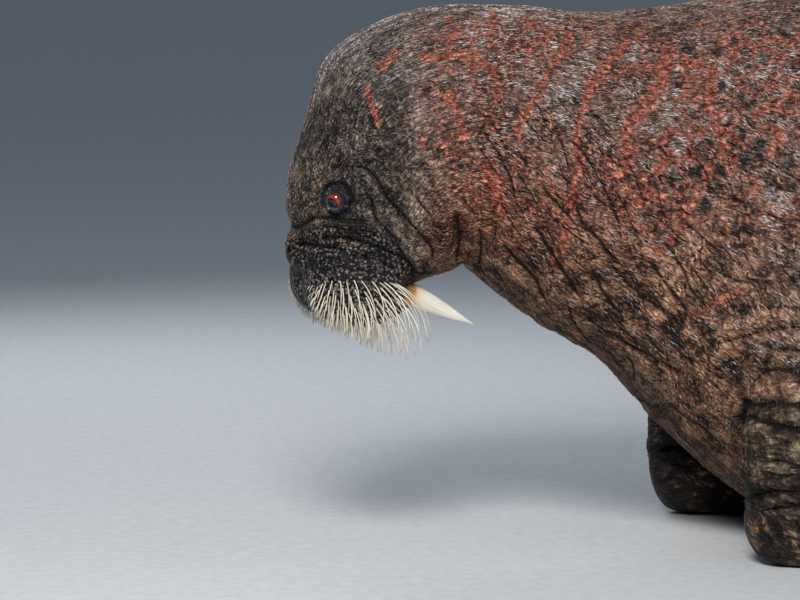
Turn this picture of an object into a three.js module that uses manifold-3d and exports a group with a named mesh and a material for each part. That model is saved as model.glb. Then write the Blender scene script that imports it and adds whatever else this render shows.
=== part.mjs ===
// An adult female walrus at life size. She lies on her belly with the chest raised on the foreflippers,
// and bends her head down. Millimetres: +X runs to the tail, +Z is up, her left side faces -Y, the floor is z = 0.
// The origin is on the floor, in the middle of the flat that the belly rests on.
import * as THREE from "three";
import { mergeVertices } from "three/addons/utils/BufferGeometryUtils.js";
import Module from "manifold-3d";

const wasm = await Module();
wasm.setup();

// Clearances
const GAP = 0.3; // between two parts that touch
const GROWTH = 0.5; // how far a cutting copy stands outside its part
const FAR = 6000; // past everything

// Body: each station is a slanted slice through the body, from the lips to the tail.
// top and bottom are its back and belly points (x, z), half its half-width, low how far the widest line drops.
const STATIONS = [
  { at: "lip", top: [-1282, 446], bottom: [-1282, 446], half: 0, low: 0 },
  { at: "muzzle front", top: [-1312, 474], bottom: [-1236, 442], half: 44, low: 0 },
  { at: "muzzle", top: [-1331, 506], bottom: [-1205, 446], half: 74, low: 0 },
  { at: "nose", top: [-1343, 545], bottom: [-1178, 458], half: 96, low: 0 },
  { at: "bridge", top: [-1349, 588], bottom: [-1156, 474], half: 116, low: 0 },
  { at: "brow", top: [-1357, 640], bottom: [-1132, 490], half: 133, low: 0 },
  { at: "eyes", top: [-1350, 705], bottom: [-1106, 500], half: 148, low: 0 },
  { at: "forehead", top: [-1323, 786], bottom: [-1082, 507], half: 168, low: 0.05 },
  { at: "crown", top: [-1282, 905], bottom: [-1060, 514], half: 192, low: 0.08 },
  { at: "back of head", top: [-1190, 968], bottom: [-1042, 526], half: 216, low: 0.1 },
  { at: "nape", top: [-1076, 998], bottom: [-1024, 520], half: 236, low: 0.1 },
  { at: "neck", top: [-940, 998], bottom: [-966, 470], half: 258, low: 0.1 },
  { at: "lower neck", top: [-810, 986], bottom: [-872, 400], half: 282, low: 0.12 },
  { at: "shoulder", top: [-680, 991], bottom: [-762, 335], half: 316, low: 0.14 },
  { at: "chest", top: [-530, 1012], bottom: [-640, 206], half: 350, low: 0.16 },
  { at: "withers", top: [-370, 1018], bottom: [-510, 90], half: 374, low: 0.2 },
  { at: "ribs", top: [-190, 982], bottom: [-370, 14], half: 392, low: 0.24 },
  { at: "back", top: [0, 912], bottom: [-180, -30], half: 404, low: 0.28 },
  { at: "waist", top: [200, 824], bottom: [40, -46], half: 400, low: 0.3 },
  { at: "loin", top: [400, 718], bottom: [260, -46], half: 378, low: 0.3 },
  { at: "hip", top: [590, 594], bottom: [480, -40], half: 336, low: 0.28 },
  { at: "rump", top: [758, 458], bottom: [670, -28], half: 276, low: 0.24 },
  { at: "tail root", top: [890, 328], bottom: [830, -4], half: 206, low: 0.2 },
  { at: "tail", top: [984, 222], bottom: [940, 34], half: 140, low: 0.1 },
  { at: "tail tip", top: [1040, 158], bottom: [1016, 62], half: 84, low: 0 },
  { at: "end", top: [1066, 104], bottom: [1066, 104], half: 0, low: 0 },
];
const FACE_FULLNESS = 0.82; // under 1 makes a slice boxier than an ellipse
const BODY_FULLNESS = 0.92;
const SLICES_PER_STATION = [3, 2, 2, 2, 2, 2, 3, 3, 3, 2, 2, 2, 2, 2, 2, 2, 2, 2, 2, 2, 2, 2, 2, 2, 2];
const SIDES = 36;

// Where the body is parted, as stations
const SNOUT_CUT = 5.35;
const HEAD_CUT = 9.55;
const NECK_CUT = 12.6;
const CHEST_CUT = 16.2;
const TRUNK_CUT = 19.6;
const RUMP_CUT = 22.7;

// Head
const PAD_CENTRE = [-1249, -60, 500];
const PAD_RADII = [92, 81, 79];
const PAD_FULLNESS = 0.84;
const PAD_TURN = 0.24; // radians about Y, front end up
const PAD_SIDES = 20;
const NOSE_CENTRE = [-1328, 0, 558];
const NOSE_RADII = [34, 50, 44];
const NOSTRIL = { x: -1352, y: 21, z: 566, arc: 17, bore: 4.5 };
const EYE_CENTRE = [-1293, -120, 658];
const EYE_RADIUS = 19;
const EYE_TURN = 0.5; // radians about Z, so that she looks out and a little forward
const LID_RING = 17; // radius of the ring of lids round the eye
const LID_THICK = 5.5;
const LID_REACH = 10; // how far outward of the eye's centre the ring lies
const EAR = { place: [-1234, -196, 743], radius: 8 };
const JAW_CENTRE = [-1184, 0, 456];
const JAW_RADII = [66, 44, 32];
const JAW_TURN = -0.35;

// Tusks
const TUSK_ROOT = [-1216, -50, 510];
const TUSK_TIP = [-1026, -68, 419];
const TUSK_SAG = 6; // how far the middle bows away from the straight line
const TUSK_WIDE = 22;
const TUSK_NARROW = 16;

// Whiskers
const WHISKER_ROWS = 5;
const WHISKERS_IN_ROW = 9;
const WHISKER_RADIUS = 2.2;
const WHISKER_LENGTH = [26, 112]; // beside the nose, and at the back of the pad
const WHISKER_SINK = 7;

// Foreflippers, given for her left side
const ARM_PATH = [
  [-440, -170, 470],
  [-452, -262, 360],
  [-462, -306, 260],
  [-466, -322, 170],
  [-472, -314, 105],
  [-478, -290, 50],
  [-480, -272, 4],
];
const ARM_RADII = [
  [150, 100],
  [134, 96],
  [124, 90],
  [117, 80],
  [112, 80],
  [102, 88],
  [66, 66],
];
const ARM_FOLDS = { count: 5, deep: 5 };
const WRIST_HEIGHT = 104;
const HAND = { heel: [-452, -225], heading: -0.95, length: 425, half: 120, rise: 84, tip: 22, edge: 8, lean: 0.35 };

// Hind flippers, given for her left side
const SHANK_PATH = [
  [640, -120, 260],
  [730, -205, 165],
  [805, -262, 95],
  [846, -292, 45],
];
const SHANK_RADII = [
  [150, 110],
  [125, 92],
  [98, 74],
  [70, 44],
];
const ANKLE_HEIGHT = 86;
const FOOT = { heel: [884, -262], heading: -2.2, length: 420, half: 150, rise: 74, tip: 17, edge: 8, lean: 0 };

const DIGITS = 5;
const NAIL = { long: 15, wide: 7, high: 5, setback: 0.86 };

const skinMaterial = (colour, roughness) =>
  new THREE.MeshStandardMaterial({ color: colour, roughness, metalness: 0 });
const hide = skinMaterial(0x6f5446, 0.72);
const darkHide = skinMaterial(0x3b322e, 0.62);
const whiskerHide = skinMaterial(0x57493f, 0.6);
const ivory = skinMaterial(0xe9e0cd, 0.35);
const wetEye = skinMaterial(0x4a1512, 0.12);

const vec = (p) => new THREE.Vector3(p[0], p[1], p[2]);
const mix = (a, b, t) => a + (b - a) * t;
const powered = (x, power) => Math.sign(x) * Math.abs(x) ** power;

// A closed solid from a three.js geometry: shared corners merged, collapsed faces dropped.
function solid(geometry) {
  const bare = geometry.clone();
  for (const name of Object.keys(bare.attributes)) if (name !== "position") bare.deleteAttribute(name);
  const merged = mergeVertices(bare, 1e-3);
  const faces = [];
  for (let i = 0; i < merged.index.count; i += 3) {
    const [a, b, c] = [0, 1, 2].map((k) => merged.index.getX(i + k));
    if (a !== b && b !== c && a !== c) faces.push(a, b, c);
  }
  return new wasm.Manifold(
    new wasm.Mesh({
      numProp: 3,
      vertProperties: new Float32Array(merged.attributes.position.array),
      triVerts: new Uint32Array(faces),
    }),
  );
}

// The largest closed surface of a solid, so that a loose scrap or a sealed hollow is dropped.
function largest(made) {
  const pieces = made.decompose();
  return pieces.reduce((best, piece) => (piece.volume() > best.volume() ? piece : best));
}

const joined = (pieces) => pieces.reduce((whole, piece) => whole.add(piece));

function mesh(name, made, material) {
  const found = largest(made).getMesh();
  const geometry = new THREE.BufferGeometry();
  const width = found.numProp;
  const places = new Float32Array((found.vertProperties.length / width) * 3);
  for (let i = 0; i < places.length / 3; i++)
    places.set(found.vertProperties.subarray(i * width, i * width + 3), i * 3);
  geometry.setAttribute("position", new THREE.BufferAttribute(places, 3));
  geometry.setIndex(new THREE.BufferAttribute(new Uint32Array(found.triVerts), 1));
  geometry.computeVertexNormals();
  const shown = new THREE.Mesh(geometry, material);
  shown.name = name;
  return shown;
}

// A surface of rings: point(row, side) gives each corner, sides wrap round, and the end rings are single points
// or fold flat on themselves.
function ringed(rows, sides, point) {
  const places = [];
  const faces = [];
  for (let r = 0; r <= rows; r++) for (let s = 0; s < sides; s++) places.push(...point(r / rows, s / sides));
  for (let r = 0; r < rows; r++)
    for (let s = 0; s < sides; s++) {
      const [a, b] = [r * sides + s, r * sides + ((s + 1) % sides)];
      if (s < sides / 2) faces.push(a, b, b + sides, a, b + sides, a + sides);
      else faces.push(a, b, a + sides, b, b + sides, a + sides);
    }
  const geometry = new THREE.BufferGeometry();
  geometry.setAttribute("position", new THREE.BufferAttribute(new Float32Array(places), 3));
  geometry.setIndex(faces);
  const made = solid(geometry);
  if (made.volume() >= 0) return made;
  for (let i = 0; i < faces.length; i += 3) [faces[i + 1], faces[i + 2]] = [faces[i + 2], faces[i + 1]];
  geometry.setIndex(faces);
  return solid(geometry);
}

function ellipsoid(centre, radii, turn = 0, grow = 0, sides = 20) {
  const geometry = new THREE.SphereGeometry(1, sides, Math.round(sides * 0.6));
  geometry.scale(radii[0] + grow, radii[1] + grow, radii[2] + grow);
  geometry.rotateY(turn);
  geometry.translate(...centre);
  return solid(geometry);
}

// The half of space on one side of a slanted line in the XZ plane, as a large box.
function halfSpace(from, to, side, clear) {
  const along = new THREE.Vector2(to[0] - from[0], to[1] - from[1]).normalize();
  const across = new THREE.Vector2(along.y, -along.x).multiplyScalar(side);
  const box = new THREE.BoxGeometry(FAR, FAR, FAR);
  const basis = new THREE.Matrix4().makeBasis(
    new THREE.Vector3(across.x, 0, across.y),
    new THREE.Vector3(0, side, 0),
    new THREE.Vector3(along.x, 0, along.y),
  );
  if (basis.determinant() < 0) basis.scale(new THREE.Vector3(1, -1, 1));
  const reach = FAR / 2 + clear;
  box.applyMatrix4(basis);
  box.translate(from[0] + across.x * reach, 0, from[1] + across.y * reach);
  return solid(box);
}

function besideMiddle(side) {
  const box = new THREE.BoxGeometry(FAR, FAR, FAR);
  box.translate(0, side * (FAR / 2 + GAP / 2), 0);
  return solid(box);
}

// Body surface: a smooth curve runs through each row of the station list, and a slice is a boxy ellipse.
const curveThrough = (pick) =>
  new THREE.CatmullRomCurve3(STATIONS.map((station) => vec(pick(station))), false, "catmullrom", 0.5);
const topLine = curveThrough((s) => [s.top[0], 0, s.top[1]]);
const bottomLine = curveThrough((s) => [s.bottom[0], 0, s.bottom[1]]);
const widthLine = curveThrough((s) => [s.half, s.low, 0]);
const lastStation = STATIONS.length - 1;

function bodyPoint(station, turn, grow = 0) {
  const t = THREE.MathUtils.clamp(station / lastStation, 0, 1);
  const top = topLine.getPoint(t);
  const bottom = bottomLine.getPoint(t);
  const width = widthLine.getPoint(t);
  const full = mix(FACE_FULLNESS, BODY_FULLNESS, THREE.MathUtils.smoothstep(station, 6, 11));
  const [c, s] = [powered(Math.cos(turn), full), powered(Math.sin(turn), full)];
  const reach = top.clone().sub(bottom).multiplyScalar(0.5);
  const spread = 1 + grow / Math.max(reach.length(), 1);
  const place = top.clone().add(bottom).multiplyScalar(0.5).addScaledVector(reach, c * spread);
  const half = Math.max(width.x, 0) * (1 - width.y * c) + (reach.length() > 1 ? grow : 0);
  return [place.x, half * s, grow ? place.z : Math.max(place.z, 0)];
}

function bodySolid(grow = 0) {
  const stations = [0];
  SLICES_PER_STATION.forEach((slices, i) => {
    for (let k = 1; k <= slices; k++) stations.push(i + k / slices);
  });
  const rows = stations.length - 1;
  const round = (row, side) => bodyPoint(stations[Math.round(row * rows)], side * 2 * Math.PI, grow);
  return ringed(rows, SIDES, round);
}

// A slanted cut across the body at a station: the part in front of it, or behind it.
function cutLine(station) {
  const t = station / lastStation;
  const [top, bottom] = [topLine.getPoint(t), bottomLine.getPoint(t)];
  return [
    [bottom.x, bottom.z],
    [top.x, top.z],
  ];
}
const inFront = (station) => halfSpace(...cutLine(station), -1, GAP / 2);
const behind = (station) => halfSpace(...cutLine(station), 1, GAP / 2);

// A limb of oval slices along a curved path.
function limb(path, radii, rows, sides, folds = { count: 0, deep: 0 }) {
  const line = new THREE.CatmullRomCurve3(path.map(vec), false, "catmullrom", 0.5);
  const sizes = new THREE.CatmullRomCurve3(radii.map((r) => vec([r[0], r[1], 0])), false, "catmullrom", 0.5);
  return ringed(rows, sides, (row, side) => {
    const inner = THREE.MathUtils.clamp((row * rows - 1) / (rows - 2), 0, 1);
    const pole = row === 0 || row === 1;
    const [centre, along, size] = [line.getPoint(inner), line.getTangent(inner), sizes.getPoint(inner)];
    const wide = new THREE.Vector3(1, 0, 0).addScaledVector(along, -along.x).normalize();
    const thick = new THREE.Vector3().crossVectors(along, wide);
    const fold = 1 - (folds.deep / size.x) * Math.abs(Math.cos(Math.PI * folds.count * inner)) ** 6;
    const turn = side * 2 * Math.PI;
    const shrink = pole ? 0 : fold;
    centre.addScaledVector(wide, size.x * Math.cos(turn) * shrink);
    centre.addScaledVector(thick, size.y * Math.sin(turn) * shrink);
    return [centre.x, centre.y, Math.max(centre.z, 0)];
  });
}

// The raised line of each digit across a flipper, 0 in the webs and 1 on the digits; across runs from -1 to 1.
const digitRise = (across) => 0.5 - 0.5 * Math.cos(Math.PI * DIGITS * (across + 1));

// A point of a flipper that lies on the floor. along runs from heel to tips, across from edge to edge.
function flipperPoint(shape, along, across, onTop) {
  const heading = new THREE.Vector2(Math.cos(shape.heading), Math.sin(shape.heading));
  const sideways = new THREE.Vector2(-heading.y, heading.x);
  const rim = Math.sqrt(Math.max(0, 1 - across ** 2)) * Math.sqrt(Math.max(0, 1 - (2 * along - 1) ** 8));
  const reach = shape.length * along * (shape.lead(across) + 0.07 * (digitRise(across) - 0.5) * along ** 3);
  const half = shape.half * shape.spread(along);
  const x = shape.heel[0] + heading.x * reach + sideways.x * half * across;
  const y = shape.heel[1] + heading.y * reach + sideways.y * half * across;
  const lean = 1 - shape.lean * across * (1 - along);
  const high = mix(shape.rise, shape.tip, THREE.MathUtils.smoothstep(along, 0.1, 0.75)) * lean;
  const ridge = 1 + 0.3 * (digitRise(across) - 0.5) * THREE.MathUtils.smoothstep(along, 0.3, 0.7);
  const z = onTop ? shape.edge + high * rim ** 0.8 * ridge : shape.edge * Math.max(0, 1 - 3 * rim);
  return [x, y, z];
}

function flipperSolid(shape, rows, columns) {
  const sides = 2 * columns;
  return ringed(rows, sides, (row, side) => {
    const step = Math.round(side * sides);
    const onTop = step <= columns;
    const across = onTop ? mix(-1, 1, step / columns) : mix(1, -1, (step - columns) / columns);
    return flipperPoint(shape, row, across, onTop);
  });
}

// A nail lies on each digit, set back from the edge as in all walruses.
function nails(shape) {
  const middle = (DIGITS - 1) / 2;
  return Array.from({ length: DIGITS }, (_, digit) => {
    const across = ((digit - middle) / DIGITS) * 2;
    const place = vec(flipperPoint(shape, NAIL.setback, across, true));
    const before = vec(flipperPoint(shape, NAIL.setback - 0.06, across, true));
    const claw = new THREE.ConeGeometry(NAIL.wide, NAIL.long * 2, 5);
    claw.scale(1, 1, NAIL.high / NAIL.wide);
    const along = place.clone().sub(before).normalize();
    const turn = new THREE.Quaternion().setFromUnitVectors(new THREE.Vector3(0, 1, 0), along);
    claw.applyQuaternion(turn);
    claw.translate(place.x, place.y, place.z);
    return solid(claw);
  });
}

HAND.lead = (across) => 0.92 - 0.08 * across - 0.1 * across ** 2;
HAND.spread = (along) => 0.62 + 0.42 * Math.sin(Math.PI * Math.min(1, along * 0.62 + 0.08));
FOOT.lead = (across) => 0.86 + 0.14 * across ** 2;
FOOT.spread = (along) => 0.44 + 0.62 * THREE.MathUtils.smoothstep(along, 0.05, 0.95);

// A tusk: oval slices that taper along a slightly bowed line, with a blunt point.
function tusk(grow = 0) {
  const [root, tip] = [vec(TUSK_ROOT), vec(TUSK_TIP)];
  const along = tip.clone().sub(root).normalize();
  const wide = new THREE.Vector3(0, 1, 0).addScaledVector(along, -along.y).normalize();
  const deep = new THREE.Vector3().crossVectors(along, wide);
  const rows = 14;
  return ringed(rows, 12, (row, side) => {
    const taper = row === 0 || row === 1 ? 0 : Math.sqrt(1 - row ** 1.6);
    const turn = side * 2 * Math.PI;
    const centre = root.clone().lerp(tip, row).addScaledVector(deep, -TUSK_SAG * Math.sin(Math.PI * row));
    const size = taper > 0 ? grow : 0;
    centre.addScaledVector(wide, (TUSK_NARROW * taper + size) * Math.cos(turn));
    centre.addScaledVector(deep, (TUSK_WIDE * taper + size) * Math.sin(turn));
    if (grow && row === 1) centre.addScaledVector(along, grow);
    if (grow && row === 0) centre.addScaledVector(along, -grow);
    return centre.toArray();
  });
}

// A point of her left whisker pad, a boxy ellipsoid, and the direction straight out of it, from two turns.
function padPoint(round, rise, grow = 0) {
  const out = new THREE.Vector3(
    Math.cos(rise) * Math.cos(round),
    -Math.cos(rise) * Math.sin(round),
    Math.sin(rise),
  );
  const place = vec(out.toArray().map((part, i) => powered(part, PAD_FULLNESS) * (PAD_RADII[i] + grow)));
  const normal = out.clone().divide(vec(PAD_RADII)).normalize();
  const turn = new THREE.Matrix4().makeRotationY(PAD_TURN);
  return [place.applyMatrix4(turn).add(vec(PAD_CENTRE)), normal.applyMatrix4(turn)];
}

function whiskerPad(grow = 0) {
  return ringed(PAD_SIDES / 2 + 2, PAD_SIDES, (row, side) => {
    const [place] = padPoint(side * 2 * Math.PI, (row - 0.5) * Math.PI, grow);
    return place.toArray();
  });
}

// Whiskers grow in rows over the lower outer half of the pad, short by the nose and long at the back,
// and bend down. Each is a tapered bristle of three sides with its root sunk in the pad.
function whiskers() {
  const made = [];
  for (let row = 0; row < WHISKER_ROWS; row++)
    for (let k = 0; k < WHISKERS_IN_ROW; k++) {
      const back = (k + (row % 2) * 0.5) / WHISKERS_IN_ROW;
      const down = row / (WHISKER_ROWS - 1);
      const [root, out] = padPoint(mix(2.85, 0.95, back), mix(0.02, -1.02, down));
      const length = mix(WHISKER_LENGTH[0], WHISKER_LENGTH[1], back ** 0.8) * mix(1, 0.66, down);
      const start = out.clone().add(new THREE.Vector3(mix(-0.3, 0.75, back), -0.12, -0.75)).normalize();
      const end = new THREE.Vector3(mix(-0.3, 0.12, back), -0.06, -1).normalize();
      const middle = root.clone().addScaledVector(start, length * 0.5);
      const bend = new THREE.QuadraticBezierCurve3(
        root.clone().addScaledVector(out, -WHISKER_SINK),
        middle,
        middle.clone().addScaledVector(end, length * 0.55),
      );
      made.push(bristle(bend));
    }
  return made;
}

function bristle(line) {
  const rows = 4;
  return ringed(rows, 3, (row, side) => {
    const inner = row === 0 ? 0 : row === 1 ? 1 : (row * rows - 1) / (rows - 1);
    const centre = line.getPoint(inner);
    if (row === 0 || row === 1) return centre.toArray();
    const along = line.getTangent(inner);
    const wide = new THREE.Vector3(0, 1, 0).addScaledVector(along, -along.y).normalize();
    const thick = new THREE.Vector3().crossVectors(along, wide);
    const radius = WHISKER_RADIUS * (1 - 0.6 * inner);
    const turn = side * 2 * Math.PI;
    centre.addScaledVector(wide, radius * Math.cos(turn)).addScaledVector(thick, radius * Math.sin(turn));
    return centre.toArray();
  });
}

// A nostril is a short curved slit, open to the front and the side.
function nostril() {
  const bends = Array.from({ length: 9 }, (_, i) => {
    const turn = (Math.PI * 1.1 * i) / 8;
    return new THREE.Vector3(0, -Math.cos(turn) * NOSTRIL.arc * 0.6, Math.sin(turn) * NOSTRIL.arc);
  });
  const section = new THREE.Shape();
  section.absarc(0, 0, NOSTRIL.bore, 0, 2 * Math.PI);
  const slit = new THREE.ExtrudeGeometry(section, {
    extrudePath: new THREE.CatmullRomCurve3(bends),
    steps: 7,
    curveSegments: 3,
  });
  slit.translate(NOSTRIL.x, -NOSTRIL.y, NOSTRIL.z - 4);
  return solid(slit);
}

// The lids: an oval ring round the eye, standing a little off the head.
function lids() {
  const ring = new THREE.TorusGeometry(LID_RING, LID_THICK, 8, 20);
  ring.scale(1.1, 0.9, 1);
  ring.rotateX(Math.PI / 2);
  ring.translate(0, -LID_REACH, 0);
  ring.rotateZ(-EYE_TURN);
  ring.translate(...EYE_CENTRE);
  return solid(ring);
}

const flipped = (made) => made.mirror([0, 1, 0]);
const both = (made) => made.add(flipped(made));

const body = bodySolid();
const bodyCutter = bodySolid(GROWTH);
const padCutter = both(whiskerPad(GAP));
const tuskCutter = both(tusk(GAP));
const eyeball = (grow) => ellipsoid(EYE_CENTRE, [EYE_RADIUS, EYE_RADIUS, EYE_RADIUS], 0, grow, 14);
const eyeCutter = both(eyeball(GAP));
const earPit = both(ellipsoid(EAR.place, [EAR.radius, EAR.radius, EAR.radius], 0, 0, 10));

const noseCutter = ellipsoid(NOSE_CENTRE, NOSE_RADII, 0, GROWTH, 18);
const jawCutter = ellipsoid(JAW_CENTRE, JAW_RADII, JAW_TURN, GROWTH, 18);

const nose = ellipsoid(NOSE_CENTRE, NOSE_RADII, 0, 0, 18);
const face = joined([body.intersect(inFront(HEAD_CUT)), both(lids()), nose])
  .subtract(both(nostril()))
  .subtract(earPit)
  .subtract(padCutter)
  .subtract(tuskCutter)
  .subtract(eyeCutter);

const jaw = ellipsoid(JAW_CENTRE, JAW_RADII, JAW_TURN, 0, 18)
  .subtract(bodyCutter)
  .subtract(tuskCutter);

const bristles = joined(whiskers()).subtract(bodyCutter).subtract(noseCutter);
const pad = whiskerPad()
  .add(bristles)
  .intersect(besideMiddle(-1))
  .subtract(tuskCutter)
  .subtract(jawCutter);

const arm = joined([limb(ARM_PATH, ARM_RADII, 20, 18, ARM_FOLDS), flipperSolid(HAND, 9, 15), ...nails(HAND)]);
const forelimb = arm.subtract(bodyCutter);
const aboveWrist = halfSpace([0, WRIST_HEIGHT], [1, WRIST_HEIGHT], -1, GAP / 2);
const belowWrist = halfSpace([0, WRIST_HEIGHT], [1, WRIST_HEIGHT], 1, GAP / 2);
const aboveAnkle = halfSpace([0, ANKLE_HEIGHT], [1, ANKLE_HEIGHT], -1, GAP / 2);
const belowAnkle = halfSpace([0, ANKLE_HEIGHT], [1, ANKLE_HEIGHT], 1, GAP / 2);

const shank = limb(SHANK_PATH, SHANK_RADII, 10, 16);
const hindlimb = joined([shank, flipperSolid(FOOT, 9, 15), ...nails(FOOT)]).subtract(bodyCutter);

const walrus = new THREE.Group();
const put = (name, made, material) => walrus.add(mesh(name, made, material));
const putPair = (name, made, material) => {
  put(`${name}_left`, made, material);
  put(`${name}_right`, flipped(made), material);
};

put("head", face.intersect(behind(SNOUT_CUT)), hide);
put("snout", face.intersect(inFront(SNOUT_CUT)), darkHide);
put("lower_jaw", jaw, darkHide);
put("neck", body.intersect(behind(HEAD_CUT)).intersect(inFront(NECK_CUT)), hide);
put("chest", body.intersect(behind(NECK_CUT)).intersect(inFront(CHEST_CUT)), hide);
put("trunk", body.intersect(behind(CHEST_CUT)).intersect(inFront(TRUNK_CUT)), hide);
put("rump", body.intersect(behind(TRUNK_CUT)).intersect(inFront(RUMP_CUT)), hide);
put("tail", body.intersect(behind(RUMP_CUT)), hide);
putPair("whisker_pad", pad, whiskerHide);
putPair("tusk", tusk(), ivory);
putPair("eye", eyeball(0), wetEye);
putPair("foreflipper_arm", forelimb.intersect(aboveWrist), hide);
putPair("foreflipper_hand", forelimb.intersect(belowWrist), darkHide);
putPair("hind_leg", hindlimb.intersect(aboveAnkle), hide);
putPair("hind_foot", hindlimb.intersect(belowAnkle), darkHide);

export default walrus;
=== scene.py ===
"""An adult female walrus at life size, lying on her belly with her chest raised on the foreflippers.

One skin stands for all her flesh, and a short coat of hair tufts, the eyes, tusks, nails and whiskers are set
on it. Shapes are worked out in millimetres and put into the meshes in metres. +X runs to the tail, +Z is up,
her left side faces -Y, and the floor is z = 0.
"""

import bpy
import numpy as np
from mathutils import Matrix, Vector


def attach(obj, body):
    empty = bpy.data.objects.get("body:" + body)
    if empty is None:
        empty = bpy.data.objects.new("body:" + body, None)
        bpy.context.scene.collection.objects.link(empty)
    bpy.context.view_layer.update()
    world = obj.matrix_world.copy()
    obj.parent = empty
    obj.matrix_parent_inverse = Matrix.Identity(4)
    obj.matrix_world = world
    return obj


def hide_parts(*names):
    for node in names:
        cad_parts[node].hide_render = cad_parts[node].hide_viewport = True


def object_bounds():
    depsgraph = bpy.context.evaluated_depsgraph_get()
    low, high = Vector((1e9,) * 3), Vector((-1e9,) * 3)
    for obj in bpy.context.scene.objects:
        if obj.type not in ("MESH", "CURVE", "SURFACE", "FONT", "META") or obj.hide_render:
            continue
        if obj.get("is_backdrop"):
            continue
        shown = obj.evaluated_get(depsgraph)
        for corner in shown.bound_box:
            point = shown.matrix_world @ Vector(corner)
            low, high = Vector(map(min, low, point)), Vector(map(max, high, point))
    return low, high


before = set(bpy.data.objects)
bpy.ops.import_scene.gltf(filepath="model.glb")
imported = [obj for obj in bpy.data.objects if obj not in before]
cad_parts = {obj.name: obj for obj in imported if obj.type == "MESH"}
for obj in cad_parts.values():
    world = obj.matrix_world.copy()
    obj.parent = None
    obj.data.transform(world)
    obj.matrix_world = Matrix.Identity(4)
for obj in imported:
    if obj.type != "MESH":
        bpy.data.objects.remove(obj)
CAD_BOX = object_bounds()

MM = 0.001
SEED = 41

# Camera: where the photo was taken from
CAMERA_AZIMUTH = np.radians(-12.0)
CAMERA_ELEVATION = np.radians(5.5)
CAMERA_DISTANCE = 6.5
CAMERA_TARGET = (-1.150, 0.0, 0.460)
CAMERA_LENS = 160.0

# Studio lights: place, what they face, size, power and colour, in metres and watts
LIGHTS = {
    "key": ((-2.5, -4.4, 3.6), (-0.8, 0, 0.5), 1.5, 425, (1.0, 0.98, 0.95)),
    "fill": ((1.8, -4.5, 1.6), (-0.6, 0, 0.5), 3.0, 30, (0.9, 0.95, 1.0)),
    "rim": ((-1.5, 3.5, 3.0), (-0.6, 0, 0.6), 2.5, 90, (0.95, 0.97, 1.0)),
}
SKY_COLOUR = (0.56, 0.67, 0.82, 1)
SKY_STRENGTH = 0.38
# Floor: distance from the middle and height of its rings in metres, and its gap to the model in millimetres
FLOOR_PROFILE = (
    (0.02, 0), (2, 0), (6, 0), (12, 0), (20, 0), (26, 0.4), (31, 1.9), (35, 5), (37, 10), (38, 20),
)
FLOOR_GAP = 1
FLOOR_COLUMNS = 96

# Body stations from the lips to the tail: back point (x, z), belly point (x, z), half-width, and the share by
# which a slice is wider below its middle
STATIONS = np.array(
    [
        (-1282, 446, -1282, 446, 0, 0),
        (-1312, 474, -1236, 442, 44, 0),
        (-1331, 506, -1205, 446, 74, 0),
        (-1343, 545, -1178, 458, 96, 0),
        (-1349, 588, -1156, 474, 116, 0),
        (-1357, 640, -1132, 490, 133, 0),
        (-1350, 705, -1106, 500, 148, 0),
        (-1323, 786, -1082, 507, 168, 0.05),
        (-1282, 905, -1060, 514, 192, 0.08),
        (-1190, 968, -1042, 526, 216, 0.1),
        (-1076, 998, -1024, 520, 236, 0.1),
        (-940, 998, -966, 470, 258, 0.1),
        (-810, 986, -872, 400, 282, 0.12),
        (-680, 991, -762, 335, 316, 0.14),
        (-530, 1012, -640, 206, 350, 0.16),
        (-370, 1018, -510, 90, 374, 0.2),
        (-190, 982, -370, 14, 392, 0.24),
        (0, 912, -180, -30, 404, 0.28),
        (200, 824, 40, -46, 400, 0.3),
        (400, 718, 260, -46, 378, 0.3),
        (590, 594, 480, -40, 336, 0.28),
        (758, 458, 670, -28, 276, 0.24),
        (890, 328, 830, -4, 206, 0.2),
        (984, 222, 940, 34, 140, 0.1),
        (1040, 158, 1016, 62, 84, 0),
        (1066, 104, 1066, 104, 0, 0),
    ],
    float,
)
# Power of the cosine and sine of a slice, from the face to the body: under 1 it is boxier than an ellipse
FULLNESS = (0.82, 0.92)
COAT_DEPTH = 3.0
# Half the width over the tips of the flippers
HALF_SPAN = 683.2
BODY_COLUMNS = 226
# Spacing of the slices in millimetres at some of the stations
ROW_SPACING = ((0, 4.0), (9.5, 4.6), (12.6, 6.8), (16.5, 11), (19, 21), (25, 30))
# Unwrap of the skin: the body's rectangle, the size of that of a paired form, and how far the right one's is
# over the left one's
BODY_CHART = (0.0, 0.0, 0.79, 0.6)
CHART_SIZE = (0.18, 0.17)
CHART_RISE = 0.19
# Rows and columns of the grids of the other forms
GRIDS = {
    "pad": (66, 108), "nose": (44, 72), "jaw": (30, 48), "lid": (34, 96),
    "arm": (72, 64), "hand": (56, 36), "shank": (34, 48), "foot": (48, 34),
}

# Head
PAD_CENTRE = (-1249, -60, 500)
PAD_RADII = (92, 81, 79)
PAD_FULLNESS = 0.84
PAD_TURN = 0.24
NOSE_CENTRE = (-1328, 0, 558)
NOSE_RADII = (34, 50, 44)
JAW_CENTRE = (-1184, 0, 456)
JAW_RADII = (66, 44, 32)
JAW_TURN = -0.35
# Pebbled skin of the muzzle: an ellipsoid round it
MUZZLE_CENTRE = (-1262, 30, 505)
MUZZLE_RADII = (128, 230, 121)
# Eyes: the left one, how far its axis turns forward, and how far she looks down and ahead of it
EYE_CENTRE = (-1291.5, -120, 654)
EYE_RADIUS = 19
EYE_TURN = 0.5
EYE_DROP = 0.46
EYE_LEAD = 0.28
CORNEA_RISE = 0.7
CORNEA_REACH = 0.4
EAR_PLACE = (-1234, 196, 743)
EAR_RADIUS = 7
PIT_DEPTH = 9
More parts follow.
